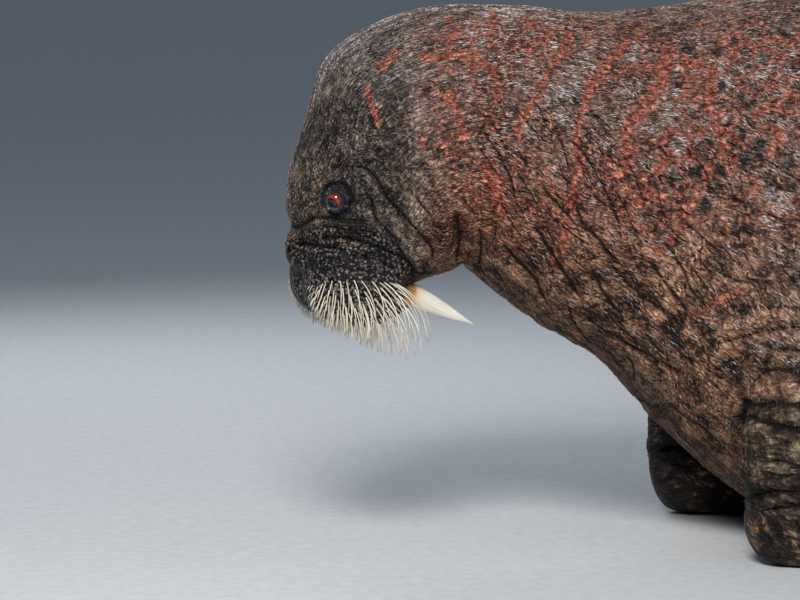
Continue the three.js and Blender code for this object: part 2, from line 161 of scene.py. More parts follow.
# Lid profile from inside the eyeball over the rim and down into the face: (distance from the axis, height)
LID_PROFILE = (
    (0, -16), (9, -14), (12, 4), (13.4, 12.0), (15.4, 15.6), (18.5, 16.4), (22, 14.2),
    (25.5, 10), (28.5, 4.5), (31.5, -3), (33, -12), (0, -18),
)
LID_STRETCH = (1.0, 1.02)
# Middle of the opening and of the mound of the lids, forward and up from the eye's axis
LID_OPENING = (-2, -1.4)
LID_MOUND = (-4, 3)
# Distances from the middle of the mound: the fold round it, and where its bare skin ends
LID_FOLD = 28
LID_EDGE = (29, 39)

# Tusks
TUSK_ROOT = (-1216, -50, 510)
TUSK_TIP = (-1026, -68, 419)
TUSK_WIDE = 24.5
TUSK_POINT = 0.5
TUSK_NARROW = 16

# Foreflippers and hind flippers, for her left side: a path with half-sizes, then a flat blade on the floor
ARM_PATH = (
    (-440, -170, 470), (-452, -262, 360), (-462, -306, 260), (-466, -322, 170), (-472, -314, 105),
    (-478, -290, 50), (-480, -272, 4),
)
ARM_RADII = ((150, 100), (134, 96), (124, 90), (117, 80), (112, 80), (102, 88), (66, 66))
SHANK_PATH = ((640, -120, 260), (730, -205, 165), (805, -262, 95), (846, -292, 45))
SHANK_RADII = ((150, 110), (125, 92), (98, 74), (70, 44))
HAND = dict(heel=(-452, -225), heading=-0.95, length=425, half=120, rise=84, tip=22, edge=8, lean=0.35)
FOOT = dict(heel=(884, -262), heading=-2.2, length=420, half=150, rise=74, tip=17, edge=8, lean=0.0)
DIGITS = 5
# Nails: the blade of the flipper, their half-length, half-width and height, and their place along the blade
NAILS = {"fore": (HAND, 15, 6.5, 4.5), "hind": (FOOT, 14, 6, 4.2)}
NAIL_PLACE = 0.86

# Creases of the skin in side view: depth, half-width, points (x, z). They run straight across from side to
# side, but the deeper ones below ARM_TOP only round the arms
CREASES = (
    (5.5, 6, ((-1352, 588), (-1334, 616), (-1306, 620), (-1277, 618), (-1237, 616))),
    (7.5, 6, (
        (-1320, 581), (-1294, 585), (-1255, 579), (-1229, 570), (-1202, 559), (-1174, 545), (-1156, 531),
        (-1143, 512),
    )),
    (6.0, 5.5, ((-1360, 573), (-1342, 571), (-1323, 568), (-1305, 566), (-1280, 567))),
    (3.0, 6.0, ((-1322, 606), (-1293, 604), (-1270, 600), (-1246, 600), (-1222, 592))),
    (2.4, 5.0, ((-1300, 617), (-1269, 612), (-1240, 613))),
    (2.4, 5.0, ((-1286, 596), (-1259, 592), (-1238, 586), (-1216, 578))),
    (3.2, 6.0, ((-1322, 541), (-1308, 549), (-1296, 550), (-1283, 547), (-1269, 546), (-1248, 538))),
    (3.0, 6.0, ((-1316, 524), (-1300, 533), (-1287, 536), (-1267, 530), (-1245, 529), (-1220, 520))),
    (2.4, 5.0, ((-1268, 557), (-1250, 551), (-1229, 549), (-1207, 539), (-1183, 524))),
    (2.4, 5.0, ((-1240, 561), (-1216, 555), (-1192, 544))),
    (3.6, 6.0, ((-1320, 558), (-1330, 545), (-1331, 530), (-1322, 512))),
    (2.6, 5.0, ((-1312, 560), (-1319, 545), (-1317, 533), (-1309, 522))),
    (5.5, 6, ((-1237, 666), (-1233, 640), (-1224, 616), (-1192, 584), (-1175, 554), (-1151, 529))),
    (5.5, 7, (
        (-1268, 715), (-1244, 708), (-1225, 687), (-1209, 656), (-1182, 629), (-1161, 605), (-1137, 579),
        (-1121, 559), (-1118, 533),
    )),
    (3.5, 6, ((-1164, 665), (-1148, 643), (-1128, 622))),
    (11.0, 10, ((-1094, 640), (-1089, 622), (-1080, 595), (-1071, 566), (-1064, 530))),
    (5.0, 9, ((-956, 696), (-939, 669), (-911, 639), (-892, 615))),
    (3.5, 8, ((-980, 769), (-946, 743))),
    (6.0, 9, ((-970, 620), (-950, 596), (-927, 560), (-897, 519), (-864, 473))),
    (6.0, 9, ((-1006, 578), (-980, 545), (-946, 512), (-924, 477), (-909, 459))),
    (5.0, 9, ((-893, 657), (-876, 613), (-853, 590), (-833, 562), (-806, 542))),
    (5.0, 9, ((-873, 528), (-851, 520), (-837, 496), (-813, 462), (-791, 441))),
    (6.0, 9, ((-836, 557), (-811, 521), (-778, 489), (-747, 465), (-718, 454))),
    (5.5, 9, ((-770, 555), (-746, 523), (-718, 487), (-697, 455), (-712, 412))),
    (4.0, 8, ((-770, 555), (-787, 534), (-808, 528))),
    (5.0, 9, ((-584, 463), (-561, 469), (-535, 471), (-480, 462), (-420, 470))),
    (4.5, 9, ((-557, 384), (-532, 395), (-480, 390), (-430, 396))),
    (7.0, 10, (
        (-670, 382), (-660, 394), (-641, 401), (-613, 410), (-566, 426), (-509, 434), (-450, 430),
        (-400, 440),
    )),
    (4.0, 8, ((-698, 435), (-693, 430), (-705, 418), (-710, 406))),
    (6.0, 10, ((-579, 329), (-567, 345), (-549, 355), (-505, 352), (-450, 345), (-380, 350))),
    (19.0, 10, ((-600, 288), (-584, 292), (-562, 295), (-532, 300), (-480, 293), (-410, 300))),
    (15.0, 10, ((-600, 276), (-584, 271), (-560, 261), (-536, 256), (-512, 252), (-460, 248), (-390, 262))),
    (6.0, 7, ((-571, 191), (-558, 196), (-539, 197), (-500, 188), (-440, 190))),
    (7.0, 7, ((-575, 180), (-563, 176), (-541, 172), (-490, 176), (-420, 168))),
    (13.0, 9, ((-592, 124), (-581, 127), (-568, 134), (-544, 140), (-500, 138), (-430, 140))),
    (11.0, 8, ((-574, 105), (-560, 108), (-536, 114), (-500, 115), (-440, 104))),
)
# Half-width in millimetres of a crease whose painted shade line is drawn at its plain width
LINE_WIDTH = 7
# Below this height a deeper crease belongs to the arms, and comes in between these distances to the side
ARM_TOP = 320
ARM_INSIDE = (200, 250)
# Depth and half-width of the crease in front of each arm and of the fold round the lids. The first follows
# the seam with the body, ahead of an x and between two heights
ARM_CREASE = (13, 14)
LID_CREASE = (3.5, 3.5)
ARM_CREASE_END = -530
ARM_CREASE_HEIGHTS = (110, 292)
# A place this far from every crease counts as clear of them
CLEAR = 60.0
# Nostril: a curved slit on each side of the nose, points (y, z)
NOSTRIL = ((-13, 552), (-15, 570), (-25, 581), (-38, 574), (-46, 556), (-50, 536))
NOSTRIL_WIDTH = 4.2
# Leathery wrinkles of the trunk: cells this far round and along it, with their sides turned
WRINKLE_CELL = (44, 120)
WRINKLE_AXES = ((0.94, 0.34), (-0.34, 0.94))
WRINKLE_DEPTH = 3.4
# Loose lumps of the skin: their size, and their height on the head and behind it
LUMP_SIZE = 55
LUMP_HEIGHT = (0.8, 2.2)

# Scars of her left side, in side view: half-width, points (x, z)
SCARS = (
    (9, ((-1151, 908), (-1117, 907), (-1088, 912), (-1063, 912), (-1047, 900), (-1030, 889), (-1014, 892))),
    (8, ((-1030, 889), (-1020, 867), (-1027, 838), (-1037, 823))),
    (10, ((-1112, 852), (-1103, 832), (-1091, 803), (-1083, 774), (-1077, 756))),
    (6, ((-1183, 806), (-1176, 794))),
    (6, ((-1154, 771), (-1145, 745))),
    (8, (
        (-868, 957), (-885, 931), (-914, 895), (-936, 865), (-947, 847), (-968, 818), (-988, 794),
        (-987, 756),
    )),
    (9, (
        (-762, 943), (-788, 917), (-812, 899), (-831, 879), (-851, 860), (-869, 822), (-881, 796),
        (-888, 762), (-884, 720), (-892, 688), (-899, 653), (-907, 613), (-908, 585), (-925, 539),
    )),
    (8, ((-1006, 990), (-1003, 978), (-1021, 940), (-1016, 922))),
    (9, ((-953, 969), (-932, 962), (-924, 951))),
    (6, ((-1078, 984), (-1081, 967), (-1078, 949), (-1107, 934))),
    (13, (
        (-697, 928), (-708, 906), (-717, 881), (-736, 850), (-767, 815), (-792, 791), (-801, 762),
        (-803, 720), (-827, 692),
    )),
    (8, ((-765, 888), (-739, 891), (-717, 881))),
    (11, ((-627, 901), (-634, 872), (-647, 832), (-640, 802), (-639, 780), (-629, 762), (-625, 740))),
    (7, ((-663, 877), (-686, 850), (-695, 828))),
    (8, ((-728, 787), (-718, 766))),
    (7, ((-694, 749), (-676, 726), (-658, 718), (-662, 695), (-678, 695))),
    (8, ((-741, 747), (-733, 733), (-750, 713), (-761, 695), (-776, 673), (-787, 646))),
    (8, ((-583, 799), (-558, 812), (-522, 819), (-506, 805))),
    (9, ((-576, 771), (-551, 783), (-528, 781), (-536, 755), (-558, 728))),
    (8, ((-600, 711), (-588, 695), (-578, 679), (-601, 673))),
    (8, ((-519, 836), (-494, 840), (-479, 849))),
    (6, ((-638, 958), (-615, 962))),
    (7, ((-682, 669), (-702, 646), (-711, 614), (-737, 583), (-762, 559))),
    (6, ((-597, 504), (-630, 488), (-659, 472), (-694, 457))),
    (13, ((-1049, 728), (-1035, 696), (-1019, 657), (-1009, 617))),
    (7, ((-1224, 878), (-1194, 907), (-1177, 921))),
    (5, ((-1241, 860), (-1237, 832), (-1227, 801), (-1224, 783))),
)

# Scratches of the trunk behind the shoulder: how many on each side, and where they start, as two corners
TRUNK_SCARS = 34
TRUNK_FIELD = ((-470, 260), (620, 960))
# The marks of her right side are shifted by a random field: its size, and the most it shifts them
SHIFT_SIZE = 90
SHIFT_MOST = 26

# Long cracks of the neck and chest in side view: where they start, as two corners, how many degrees they fall
# to the tail at each x, and the length of a step
CRACK_FIELD = ((-1070, 200), (-440, 850))
CRACK_FALL = ((-1080, 66), (-880, 54), (-680, 46), (-480, 28))
CRACK_STEP = 16
# Three sorts of cracks: depth, half-width, least gap to the others, steps, tries, and degrees turned upwards
CRACK_SORTS = (
    (4.6, 5.5, 24, (6, 14), 700, 0),
    (2.4, 4.0, 11, (3, 8), 1200, 0),
    (2.0, 3.6, 5, (2, 5), 700, 72),
)
CRACK_SLOPE = np.radians(48)
# Strands of colour along the cracks, and hair-like flecks along the lie of the hair, in metres
STRAND_CELL = (0.04, 0.024, 0.011)
HAIR_SLOPE = np.radians(28)
FLECK_CELL = (0.0085, 0.004, 0.0028)

# Cells to the metre: the net of fine scars, 38 mm across, and the muzzle's pebbles, 6 mm across
NET_SCALE = 26.0
PEBBLE_SCALE = 170.0
# Outputs in use by their number: of Texture Coordinate, Attribute and Voronoi Texture
OBJECT = 3
NUMBER = 2
CELL_COLOUR = 1
# A range that falls: 1 at and below its start, and 0 at and above its end
FALLING = {"To Min": 1.0, "To Max": 0.0}

# Grizzled patch of the shoulder in side view, and the top of the wrist and of the wrinkled limbs
SHOULDER = (-530, 540)
SHOULDER_RADIUS = 200
WRIST_TOP = 160
LIMB_TOP = 420

# Which kind of form a face of the skin belongs to
BODY, PAD, NOSE, JAW, LID, ARM, HAND_BLADE, LEG, FOOT_BLADE = range(9)


def mix(a, b, share):
    """A value between a and b: a plus share of the way to b."""
    return a + (b - a) * share


def ease(value, low, high):
    """Smoothstep: 0 below low, 1 above high, and 3 t squared less 2 t cubed between them."""
    t = np.clip((value - low) / (high - low), 0, 1)
    return t * t * (3 - 2 * t)


def powered(value, power):
    """The size of a value raised to a power, with the value's own sign."""
    return np.sign(value) * np.abs(value) ** power


def unit(vectors):
    """Vectors along the last axis, each divided by its length."""
    return vectors / np.maximum(np.linalg.norm(vectors, axis=-1, keepdims=True), 1e-12)


def smooth_curve(points, at):
    """Uniform Catmull-Rom curve through points, at counts them: a cubic between neighbours whose slope at
    each point is half the step from the one before to the one after, with the row carried on straight past
    its ends."""
    row = np.asarray(points, float)
    row = np.vstack([2 * row[0] - row[1], row, 2 * row[-1] - row[-2]])
    at = np.clip(np.asarray(at, float), 0, len(points) - 1)
    start = np.minimum(at.astype(int), len(points) - 2)
    t = (at - start)[..., None]
    before, here, after, beyond = (row[start + k] for k in range(4))
    out_slope, in_slope = (after - before) / 2, (beyond - here) / 2
    return (
        (2 * t**3 - 3 * t**2 + 1) * here
        + (t**3 - 2 * t**2 + t) * out_slope
        + (3 * t**2 - 2 * t**3) * after
        + (t**3 - t**2) * in_slope
    )


def resampled(points, step):
    """Points of the smooth curve, about step apart along it."""
    fine = smooth_curve(points, np.linspace(0, len(points) - 1, 20 * len(points)))
    run = np.concatenate([[0], np.cumsum(np.linalg.norm(np.diff(fine, axis=0), axis=1))])
    wanted = np.linspace(0, run[-1], max(3, int(run[-1] / step) + 1))
    return np.stack([np.interp(wanted, run, fine[:, k]) for k in range(fine.shape[1])], 1)


def value_noise(points, size, seed, octaves=1):
    """A smooth random field from -1 to 1: random numbers on a cubic lattice, mixed between the eight
    corners of a cell by the smoothstep of the place in it. Each further octave has half the size and half
    the weight."""
    cells = 32
    table = np.random.default_rng(seed).uniform(-1, 1, (cells, cells, cells))
    total, whole = np.zeros(len(points)), 0.0
    for octave in range(octaves):
        weight = 0.5**octave
        place = points / (size * weight) + 7.3 * octave
        cell = np.floor(place).astype(int)
        part = ease(place - cell, 0, 1)
        for corner in np.ndindex(2, 2, 2):
            near = np.prod(np.where(corner, part, 1 - part), axis=1)
            total += weight * near * table[tuple(((cell + corner) % cells).T)]
        whole += weight
    return total / whole


def cell_edges(place, seed):
    """How far a place is inside its cell, where one point is scattered in each unit square and a cell is
    what lies nearest to its point: distance to the second nearest point less that to the nearest, 0 on the
    edges."""
    cells = 64
    scatter = np.random.default_rng(seed).random((cells, cells, 2))
    square = np.floor(place).astype(int)
    first = np.full(len(place), 9.0)
    second = first.copy()
    for step in np.ndindex(3, 3):
        near = square + step - 1
        gap = near + scatter[near[:, 0] % cells, near[:, 1] % cells] - place
        distance = np.linalg.norm(gap, axis=1)
        second = np.minimum(second, np.maximum(first, distance))
        first = np.minimum(first, distance)
    return second - first


def line_field(places, points, half_width, fade, reach=0):
    """Bell-shaped weight round a smooth line in the plane, 1 on the line, with the given half-width, and
    fading out over the length fade at both ends of the line. Also the distance from the line, over reach at
    least, more than the real one where the line fades, and 1 or -1 for the side of the line."""
    line = resampled(points, half_width / 2)
    reach = max(reach, 3 * half_width)
    near = np.flatnonzero(np.all((places > line.min(0) - reach) & (places < line.max(0) + reach), axis=1))
    weight, apart, side = np.zeros(len(places)), np.full(len(places), 1e3), np.ones(len(places))
    if not len(near):
        return weight, apart, side
    steps = np.diff(line, axis=0)
    gaps = places[near, None] - line[None]
    nearest = np.linalg.norm(gaps, axis=2).argmin(1)
    gap = gaps[np.arange(len(near)), nearest]
    distance = np.linalg.norm(gap, axis=1)
    way = steps[np.minimum(nearest, len(steps) - 1)]
    side[near] = np.where(way[:, 0] * gap[:, 1] > way[:, 1] * gap[:, 0], 1, -1)
    whole = np.linalg.norm(steps, axis=1).sum()
    run = nearest / (len(line) - 1) * whole
    ends = ease(np.minimum(run, whole - run), -0.2 * fade, fade)
    weight[near] = np.exp(-((distance / half_width) ** 2)) * ends
    apart[near] = distance / np.maximum(ends, 0.05)
    return weight, apart, side


# Meshes

def mesh_object(name, places, corners, sizes):
    """A mesh object from places in millimetres, the corners of all faces in a row, and each face's corner
    count."""
    made = bpy.data.meshes.new(name)
    made.vertices.add(len(places))
    made.vertices.foreach_set("co", (np.asarray(places) * MM).astype(np.float32).ravel())
    made.loops.add(len(corners))
    made.loops.foreach_set("vertex_index", np.asarray(corners, np.int32))
    made.polygons.add(len(sizes))
    starts = np.concatenate([[0], np.cumsum(sizes)[:-1]]).astype(np.int32)
    made.polygons.foreach_set("loop_start", starts)
    made.update(calc_edges=True)
    made.shade_smooth()
    piece = bpy.data.objects.new(name, made)
    bpy.context.scene.collection.objects.link(piece)
    return piece


def add_uv(piece, name, values):
    """A UV map from one pair of numbers for each corner."""
    layer = piece.data.uv_layers.new(name=name)
    layer.uv.foreach_set("vector", np.asarray(values, np.float32).ravel())


def add_values(piece, domain, **fields):
    """Number fields of a mesh, one value for each point or face."""
    for name, values in fields.items():
        field = piece.data.attributes.new(name, "FLOAT", domain)
        field.data.foreach_set("value", np.asarray(values, np.float32))


def ring_ids(rows, columns, ends):
    """Which place each corner of a surface of rings is, where the end rings close: at one point each, or
    folded flat, where the second half of the ring lies on the first."""
    ids = np.arange(rows * columns).reshape(rows, columns)
    column = np.arange(columns)
    for row in (0, rows - 1):
        ids[row] = ids[row, 0] if ends == "point" else ids[row, np.minimum(column, columns - column)]
    return ids


def ring_arrays(rings, ends):
    """Corners of a closed surface of rings, where the columns wrap round. Gives places, corners, face
    sizes, and each corner's row and column. Faces are turned to point outwards."""
    rows, columns = rings.shape[:2]
    ids = ring_ids(rows, columns, ends)
    ids = np.hstack([ids, ids[:, :1]])
    r, c = (g.ravel() for g in np.meshgrid(np.arange(rows - 1), np.arange(columns), indexing="ij"))
    face_rows = np.stack([r, r, r + 1, r + 1], 1)
    face_columns = np.stack([c, c + 1, c + 1, c], 1)
    faces = ids[face_rows, face_columns]
    flat = rings.reshape(-1, 3)
    a, b, d, e = (flat[faces[:, k]] for k in range(4))
    if (np.cross(a, b) * d).sum() + (np.cross(a, d) * e).sum() < 0:
        faces, face_rows, face_columns = faces[:, ::-1], face_rows[:, ::-1], face_columns[:, ::-1]
    keep = faces != np.roll(faces, -1, axis=1)
    used, corners = np.unique(faces[keep], return_inverse=True)
    return flat[used], corners, keep.sum(1), face_rows[keep], face_columns[keep]


def ring_form(name, rings, kind, chart, ends="point", mirrored=False):
    """An object of rings with its kind on its faces and two UV maps: Lie, the distance round it and along
    it in metres, and Chart, its own rectangle (left, bottom, right, top) of the unwrap."""
    if mirrored:
        rings = rings * (1, -1, 1)
    places, corners, sizes, row, column = ring_arrays(rings, ends)
    piece = mesh_object(name, places, corners, sizes)
    steps = np.linalg.norm(np.diff(rings, axis=0), axis=2).mean(1) * MM
    along = np.concatenate([[0], np.cumsum(steps)])
    closed = np.concatenate([rings, rings[:, :1]], 1)
    girth = np.linalg.norm(np.diff(closed, axis=1), axis=2).sum(1).mean() * MM
    across, up = column / rings.shape[1], row / (len(rings) - 1)
    add_uv(piece, "Lie", np.stack([across * girth, along[row]], 1))
    left, bottom, right, top = chart
    add_uv(piece, "Chart", np.stack([mix(left, right, across), mix(bottom, top, up)], 1))
    add_values(piece, "FACE", kind=np.full(len(sizes), kind))
    return piece


# Forms of the flesh

def body_rings():
    """Slanted slices from the lips to the tail. A slice is an ellipse between its back and belly points,
    with the cosine and sine raised to a power under 1 so that it is boxier, widened below its middle, set in
    from the true outline by the coat's depth, and flat where it would pass the floor."""
    fine = np.linspace(0, len(STATIONS) - 1, 4000)
    lines = smooth_curve(STATIONS, fine)
    step = [np.linalg.norm(np.diff(lines[:, k : k + 2], axis=0), axis=1) for k in (0, 2)]
    length = 0.7 * step[0] + 0.3 * step[1]
    spacing = np.interp(fine[1:], *zip(*ROW_SPACING))
    count = np.concatenate([[0], np.cumsum(length / spacing)])
    stations = np.interp(np.linspace(0, count[-1], int(count[-1]) + 1), count, fine)
    row = smooth_curve(STATIONS, stations)
    back, belly = row[:, None, 0:2], row[:, None, 2:4]
    half, low = np.maximum(row[:, None, 4], 0), row[:, None, 5]
    turn = np.pi + 2 * np.pi * np.arange(BODY_COLUMNS)[None] / BODY_COLUMNS
    full = mix(*FULLNESS, ease(stations, 6, 11))[:, None]
    c, s = powered(np.cos(turn), full), powered(np.sin(turn), full)
    reach = (back - belly) / 2
    tall = np.linalg.norm(reach, axis=2, keepdims=True)
    inset = np.minimum(COAT_DEPTH, 0.5 * tall)
    middle = (back + belly) / 2 + reach * (1 - inset / np.maximum(tall, 1)) * c[..., None]
    wide = np.maximum(half - inset[..., 0], 0) * (1 - low * c) * s
    return np.stack([middle[..., 0], wide, np.maximum(middle[..., 1], 0)], -1)


def turned(places, angle):
    """Places turned about the Y axis, from Z towards X."""
    x, y, z = places[..., 0], places[..., 1], places[..., 2]
    return np.stack([x * np.cos(angle) + z * np.sin(angle), y, z * np.cos(angle) - x * np.sin(angle)], -1)


def pad_point(round_turn, rise, radii=PAD_RADII):
    """A place on her left whisker pad and the way straight out of it. The pad is an ellipsoid, boxier as its
    direction's parts are raised to a power under 1, and turned about Y with its front end up."""
    flat = np.cos(rise)
    high = np.sin(rise) * np.ones_like(round_turn)
    out = np.stack([flat * np.cos(round_turn), -flat * np.sin(round_turn), high], -1)
    place = powered(out, PAD_FULLNESS) * radii
    return turned(place, PAD_TURN) + PAD_CENTRE, turned(unit(out / np.array(radii)), PAD_TURN)


def ellipsoid_rings(centre, radii, turn, rows, columns):
    """Rings of an ellipsoid, its poles up and down, turned about Y."""
    rise = np.linspace(-np.pi / 2, np.pi / 2, rows)[:, None]
    around = 2 * np.pi * np.arange(columns)[None] / columns
    flat = np.cos(rise)
    out = np.stack([flat * np.cos(around), flat * np.sin(around), np.sin(rise) + 0 * around], -1)
    return turned(out * radii, turn) + centre


def eye_axes():
    """Three unit directions of her left eye: forward along the face, up, and out of the head."""
    out = np.array([-np.sin(EYE_TURN), -np.cos(EYE_TURN), 0.0])
    up = np.array([0.0, 0.0, 1.0])
    return np.cross(out, up), up, out


def eye_plane(places):
    """How far places lie forward, up and out from the centre of the eye on their own side."""
    beside = np.stack([places[:, 0], -np.abs(places[:, 1]), places[:, 2]], 1)
    return ((beside - EYE_CENTRE) @ np.array(eye_axes()).T).T


def lid_fold(places):
    """Distance from the fold round the mound of the lids, with its sign, and the same without it, longer
    where the fold fades out below and in front."""
    forward, up, out = eye_plane(places)
    forward, up = forward - LID_MOUND[0], up - LID_MOUND[1]
    gap = np.hypot(forward, up) - LID_FOLD
    shown = mix(0.22, 1, ease(up - 0.5 * forward, -16, 12)) * (out > -30)
    return gap, np.abs(gap) / np.maximum(shown, 0.05)


def lid_rings(rows, columns):
    """The lids of her left eye: the lid profile turned round the eye's axis and stretched along the eye. Each
    ring slips from the middle of the opening to that of the mound by a smoothstep of its distance."""
    steps = smooth_curve(LID_PROFILE, np.linspace(0, len(LID_PROFILE) - 1, rows))
    steps[:, 0] = np.maximum(steps[:, 0], 0)
    steps[[0, -1], 0] = 0
    around = 2 * np.pi * np.arange(columns)[None] / columns
    forward, up, out = eye_axes()
    distance, height = steps[:, :1, None], steps[:, 1:, None]
    ahead, above = np.cos(around)[..., None] * forward, np.sin(around)[..., None] * up
    flat = ahead * LID_STRETCH[0] + above * LID_STRETCH[1]
    slip = mix(np.array(LID_OPENING), np.array(LID_MOUND), ease(distance[:, 0], 14, 30))[:, None]
    centre = EYE_CENTRE + slip[..., :1] * forward + slip[..., 1:] * up
    return centre + distance * flat + height * out


def limb_rings(path, radii, rows, columns):
    """Oval slices along a smooth path. Each lies square to the path, with its first half-size along X."""
    at = np.linspace(0, len(path) - 1, rows)
    centre, size = smooth_curve(path, at), smooth_curve(radii, at)
    along = unit(smooth_curve(path, at + 1e-3) - smooth_curve(path, at - 1e-3))
    wide = unit(np.array([1.0, 0, 0]) - along * along[:, :1])
    thick = np.cross(along, wide)
    turn = 2 * np.pi * np.arange(columns)[None, :, None] / columns
    rings = (
        centre[:, None]
        + wide[:, None] * size[:, :1, None] * np.cos(turn)
        + thick[:, None] * size[:, 1:, None] * np.sin(turn)
    )
    first, last = (np.repeat(end[:, None], columns, 1) for end in (centre[:1], centre[-1:]))
    rings = np.concatenate([first, rings, last])
    rings[..., 2] = np.maximum(rings[..., 2], 0)
    return rings


def hand_lead(across):
    """How far the digits reach, from the hind edge to the front edge of a foreflipper."""
    return 0.92 - 0.08 * across - 0.1 * across**2


def hand_spread(along):
    """The foreflipper's half-width along it: part of a sine wave."""
    return 0.62 + 0.42 * np.sin(np.pi * np.minimum(1, along * 0.62 + 0.08))


def foot_lead(across):
    """How far the digits of a hind flipper reach: the outer ones are longest."""
    return 0.86 + 0.14 * across**2


def foot_spread(along):
    """The hind flipper widens like a fan."""
    return 0.44 + 0.62 * ease(along, 0.05, 0.95)


HAND.update(reach=hand_lead, spread=hand_spread)
FOOT.update(reach=foot_lead, spread=foot_spread)


def digit_rise(across):
    """0 in the webs and 1 on the digits, a cosine wave across the flipper."""
    return 0.5 - 0.5 * np.cos(np.pi * DIGITS * (across + 1))


def blade_point(shape, along, across, on_top):
    """A place on a flipper that lies flat on the floor: along runs from heel to tips, across from edge to
    edge. Its height is an even rim plus a rise that falls off to the tips and is ridged over the digits."""
    heading = np.array([np.cos(shape["heading"]), np.sin(shape["heading"])])
    rim = np.sqrt(np.maximum(0, 1 - across**2)) * np.sqrt(np.maximum(0, 1 - (2 * along - 1) ** 8))
    rise = digit_rise(across) - 0.5
    reach = shape["length"] * along * (shape["reach"](across) + 0.07 * rise * along**3)
    half = shape["half"] * shape["spread"](along) * across
    lean = 1 - shape["lean"] * across * (1 - along)
    high = mix(shape["rise"], shape["tip"], ease(along, 0.1, 0.75)) * lean
    top = shape["edge"] + high * rim**0.8 * (1 + 0.3 * rise * ease(along, 0.3, 0.7))
    sole = shape["edge"] * np.maximum(0, 1 - 3 * rim)
    x = shape["heel"][0] + heading[0] * reach - heading[1] * half
    y = shape["heel"][1] + heading[1] * reach + heading[0] * half
    return np.stack([x, y, np.where(on_top, top, sole)], -1)


def blade_rings(shape, rows, columns):
    """Rings of a flipper: each goes over the top from edge to edge and back along the sole."""
    along = np.linspace(0, 1, rows)[:, None]
    step = np.arange(2 * columns)[None]
    on_top = step <= columns
    across = np.where(on_top, 2 * step / columns - 1, 3 - 2 * step / columns)
    across = np.sin(across * np.pi / 2)
    return blade_point(shape, along + 0 * across, across + 0 * along, on_top)


def flesh_forms():
    """Every form of the flesh as its own closed object, the body first."""
    rows, columns = GRIDS["pad"]
    pad_turn = 2 * np.pi * np.arange(columns)[None] / columns
    pad_rise = np.linspace(-np.pi / 2, np.pi / 2, rows)[:, None]
    pairs = (
        ("pad", pad_point(pad_turn, pad_rise)[0], PAD, "point", (0.0, 0.62)),
        ("lid", lid_rings(*GRIDS["lid"]), LID, "point", (0.2, 0.62)),
        ("arm", limb_rings(ARM_PATH, ARM_RADII, *GRIDS["arm"]), ARM, "point", (0.4, 0.62)),
        ("hand", blade_rings(HAND, *GRIDS["hand"]), HAND_BLADE, "fold", (0.6, 0.62)),
        ("shank", limb_rings(SHANK_PATH, SHANK_RADII, *GRIDS["shank"]), LEG, "point", (0.8, 0.62)),
        ("foot", blade_rings(FOOT, *GRIDS["foot"]), FOOT_BLADE, "fold", (0.8, 0.42)),
    )
    made = [ring_form("skin", body_rings(), BODY, BODY_CHART)]
    for name, rings, kind, ends, (left, bottom) in pairs:
        for mirrored, rise in ((False, 0), (True, CHART_RISE)):
            chart = (left, bottom + rise, left + CHART_SIZE[0], bottom + rise + CHART_SIZE[1])
            made.append(ring_form(name, rings, kind, chart, ends, mirrored))
    nose = ellipsoid_rings(NOSE_CENTRE, NOSE_RADII, 0, *GRIDS["nose"])
    jaw = ellipsoid_rings(JAW_CENTRE, JAW_RADII, JAW_TURN, *GRIDS["jaw"])
    made.append(ring_form("nose", nose, NOSE, (0.8, 0.0, 0.98, 0.18)))
    made.append(ring_form("jaw", jaw, JAW, (0.8, 0.2, 0.98, 0.38)))
    return made


def joined_flesh():
    """One closed surface: Booleans unite the forms, and only faces of more than four corners are split."""
    skin, *others = flesh_forms()
    for other in others:
        union = skin.modifiers.new(other.name, "BOOLEAN")
        union.operation = "UNION"
        union.solver = "MANIFOLD"
        union.object = other
    split = skin.modifiers.new("split", "TRIANGULATE")
    split.min_vertices = 5
    united = bpy.data.meshes.new_from_object(skin.evaluated_get(bpy.context.evaluated_depsgraph_get()))
    skin.modifiers.clear()
    skin.data = united
    for other in others:
        bpy.data.objects.remove(other)
    return skin


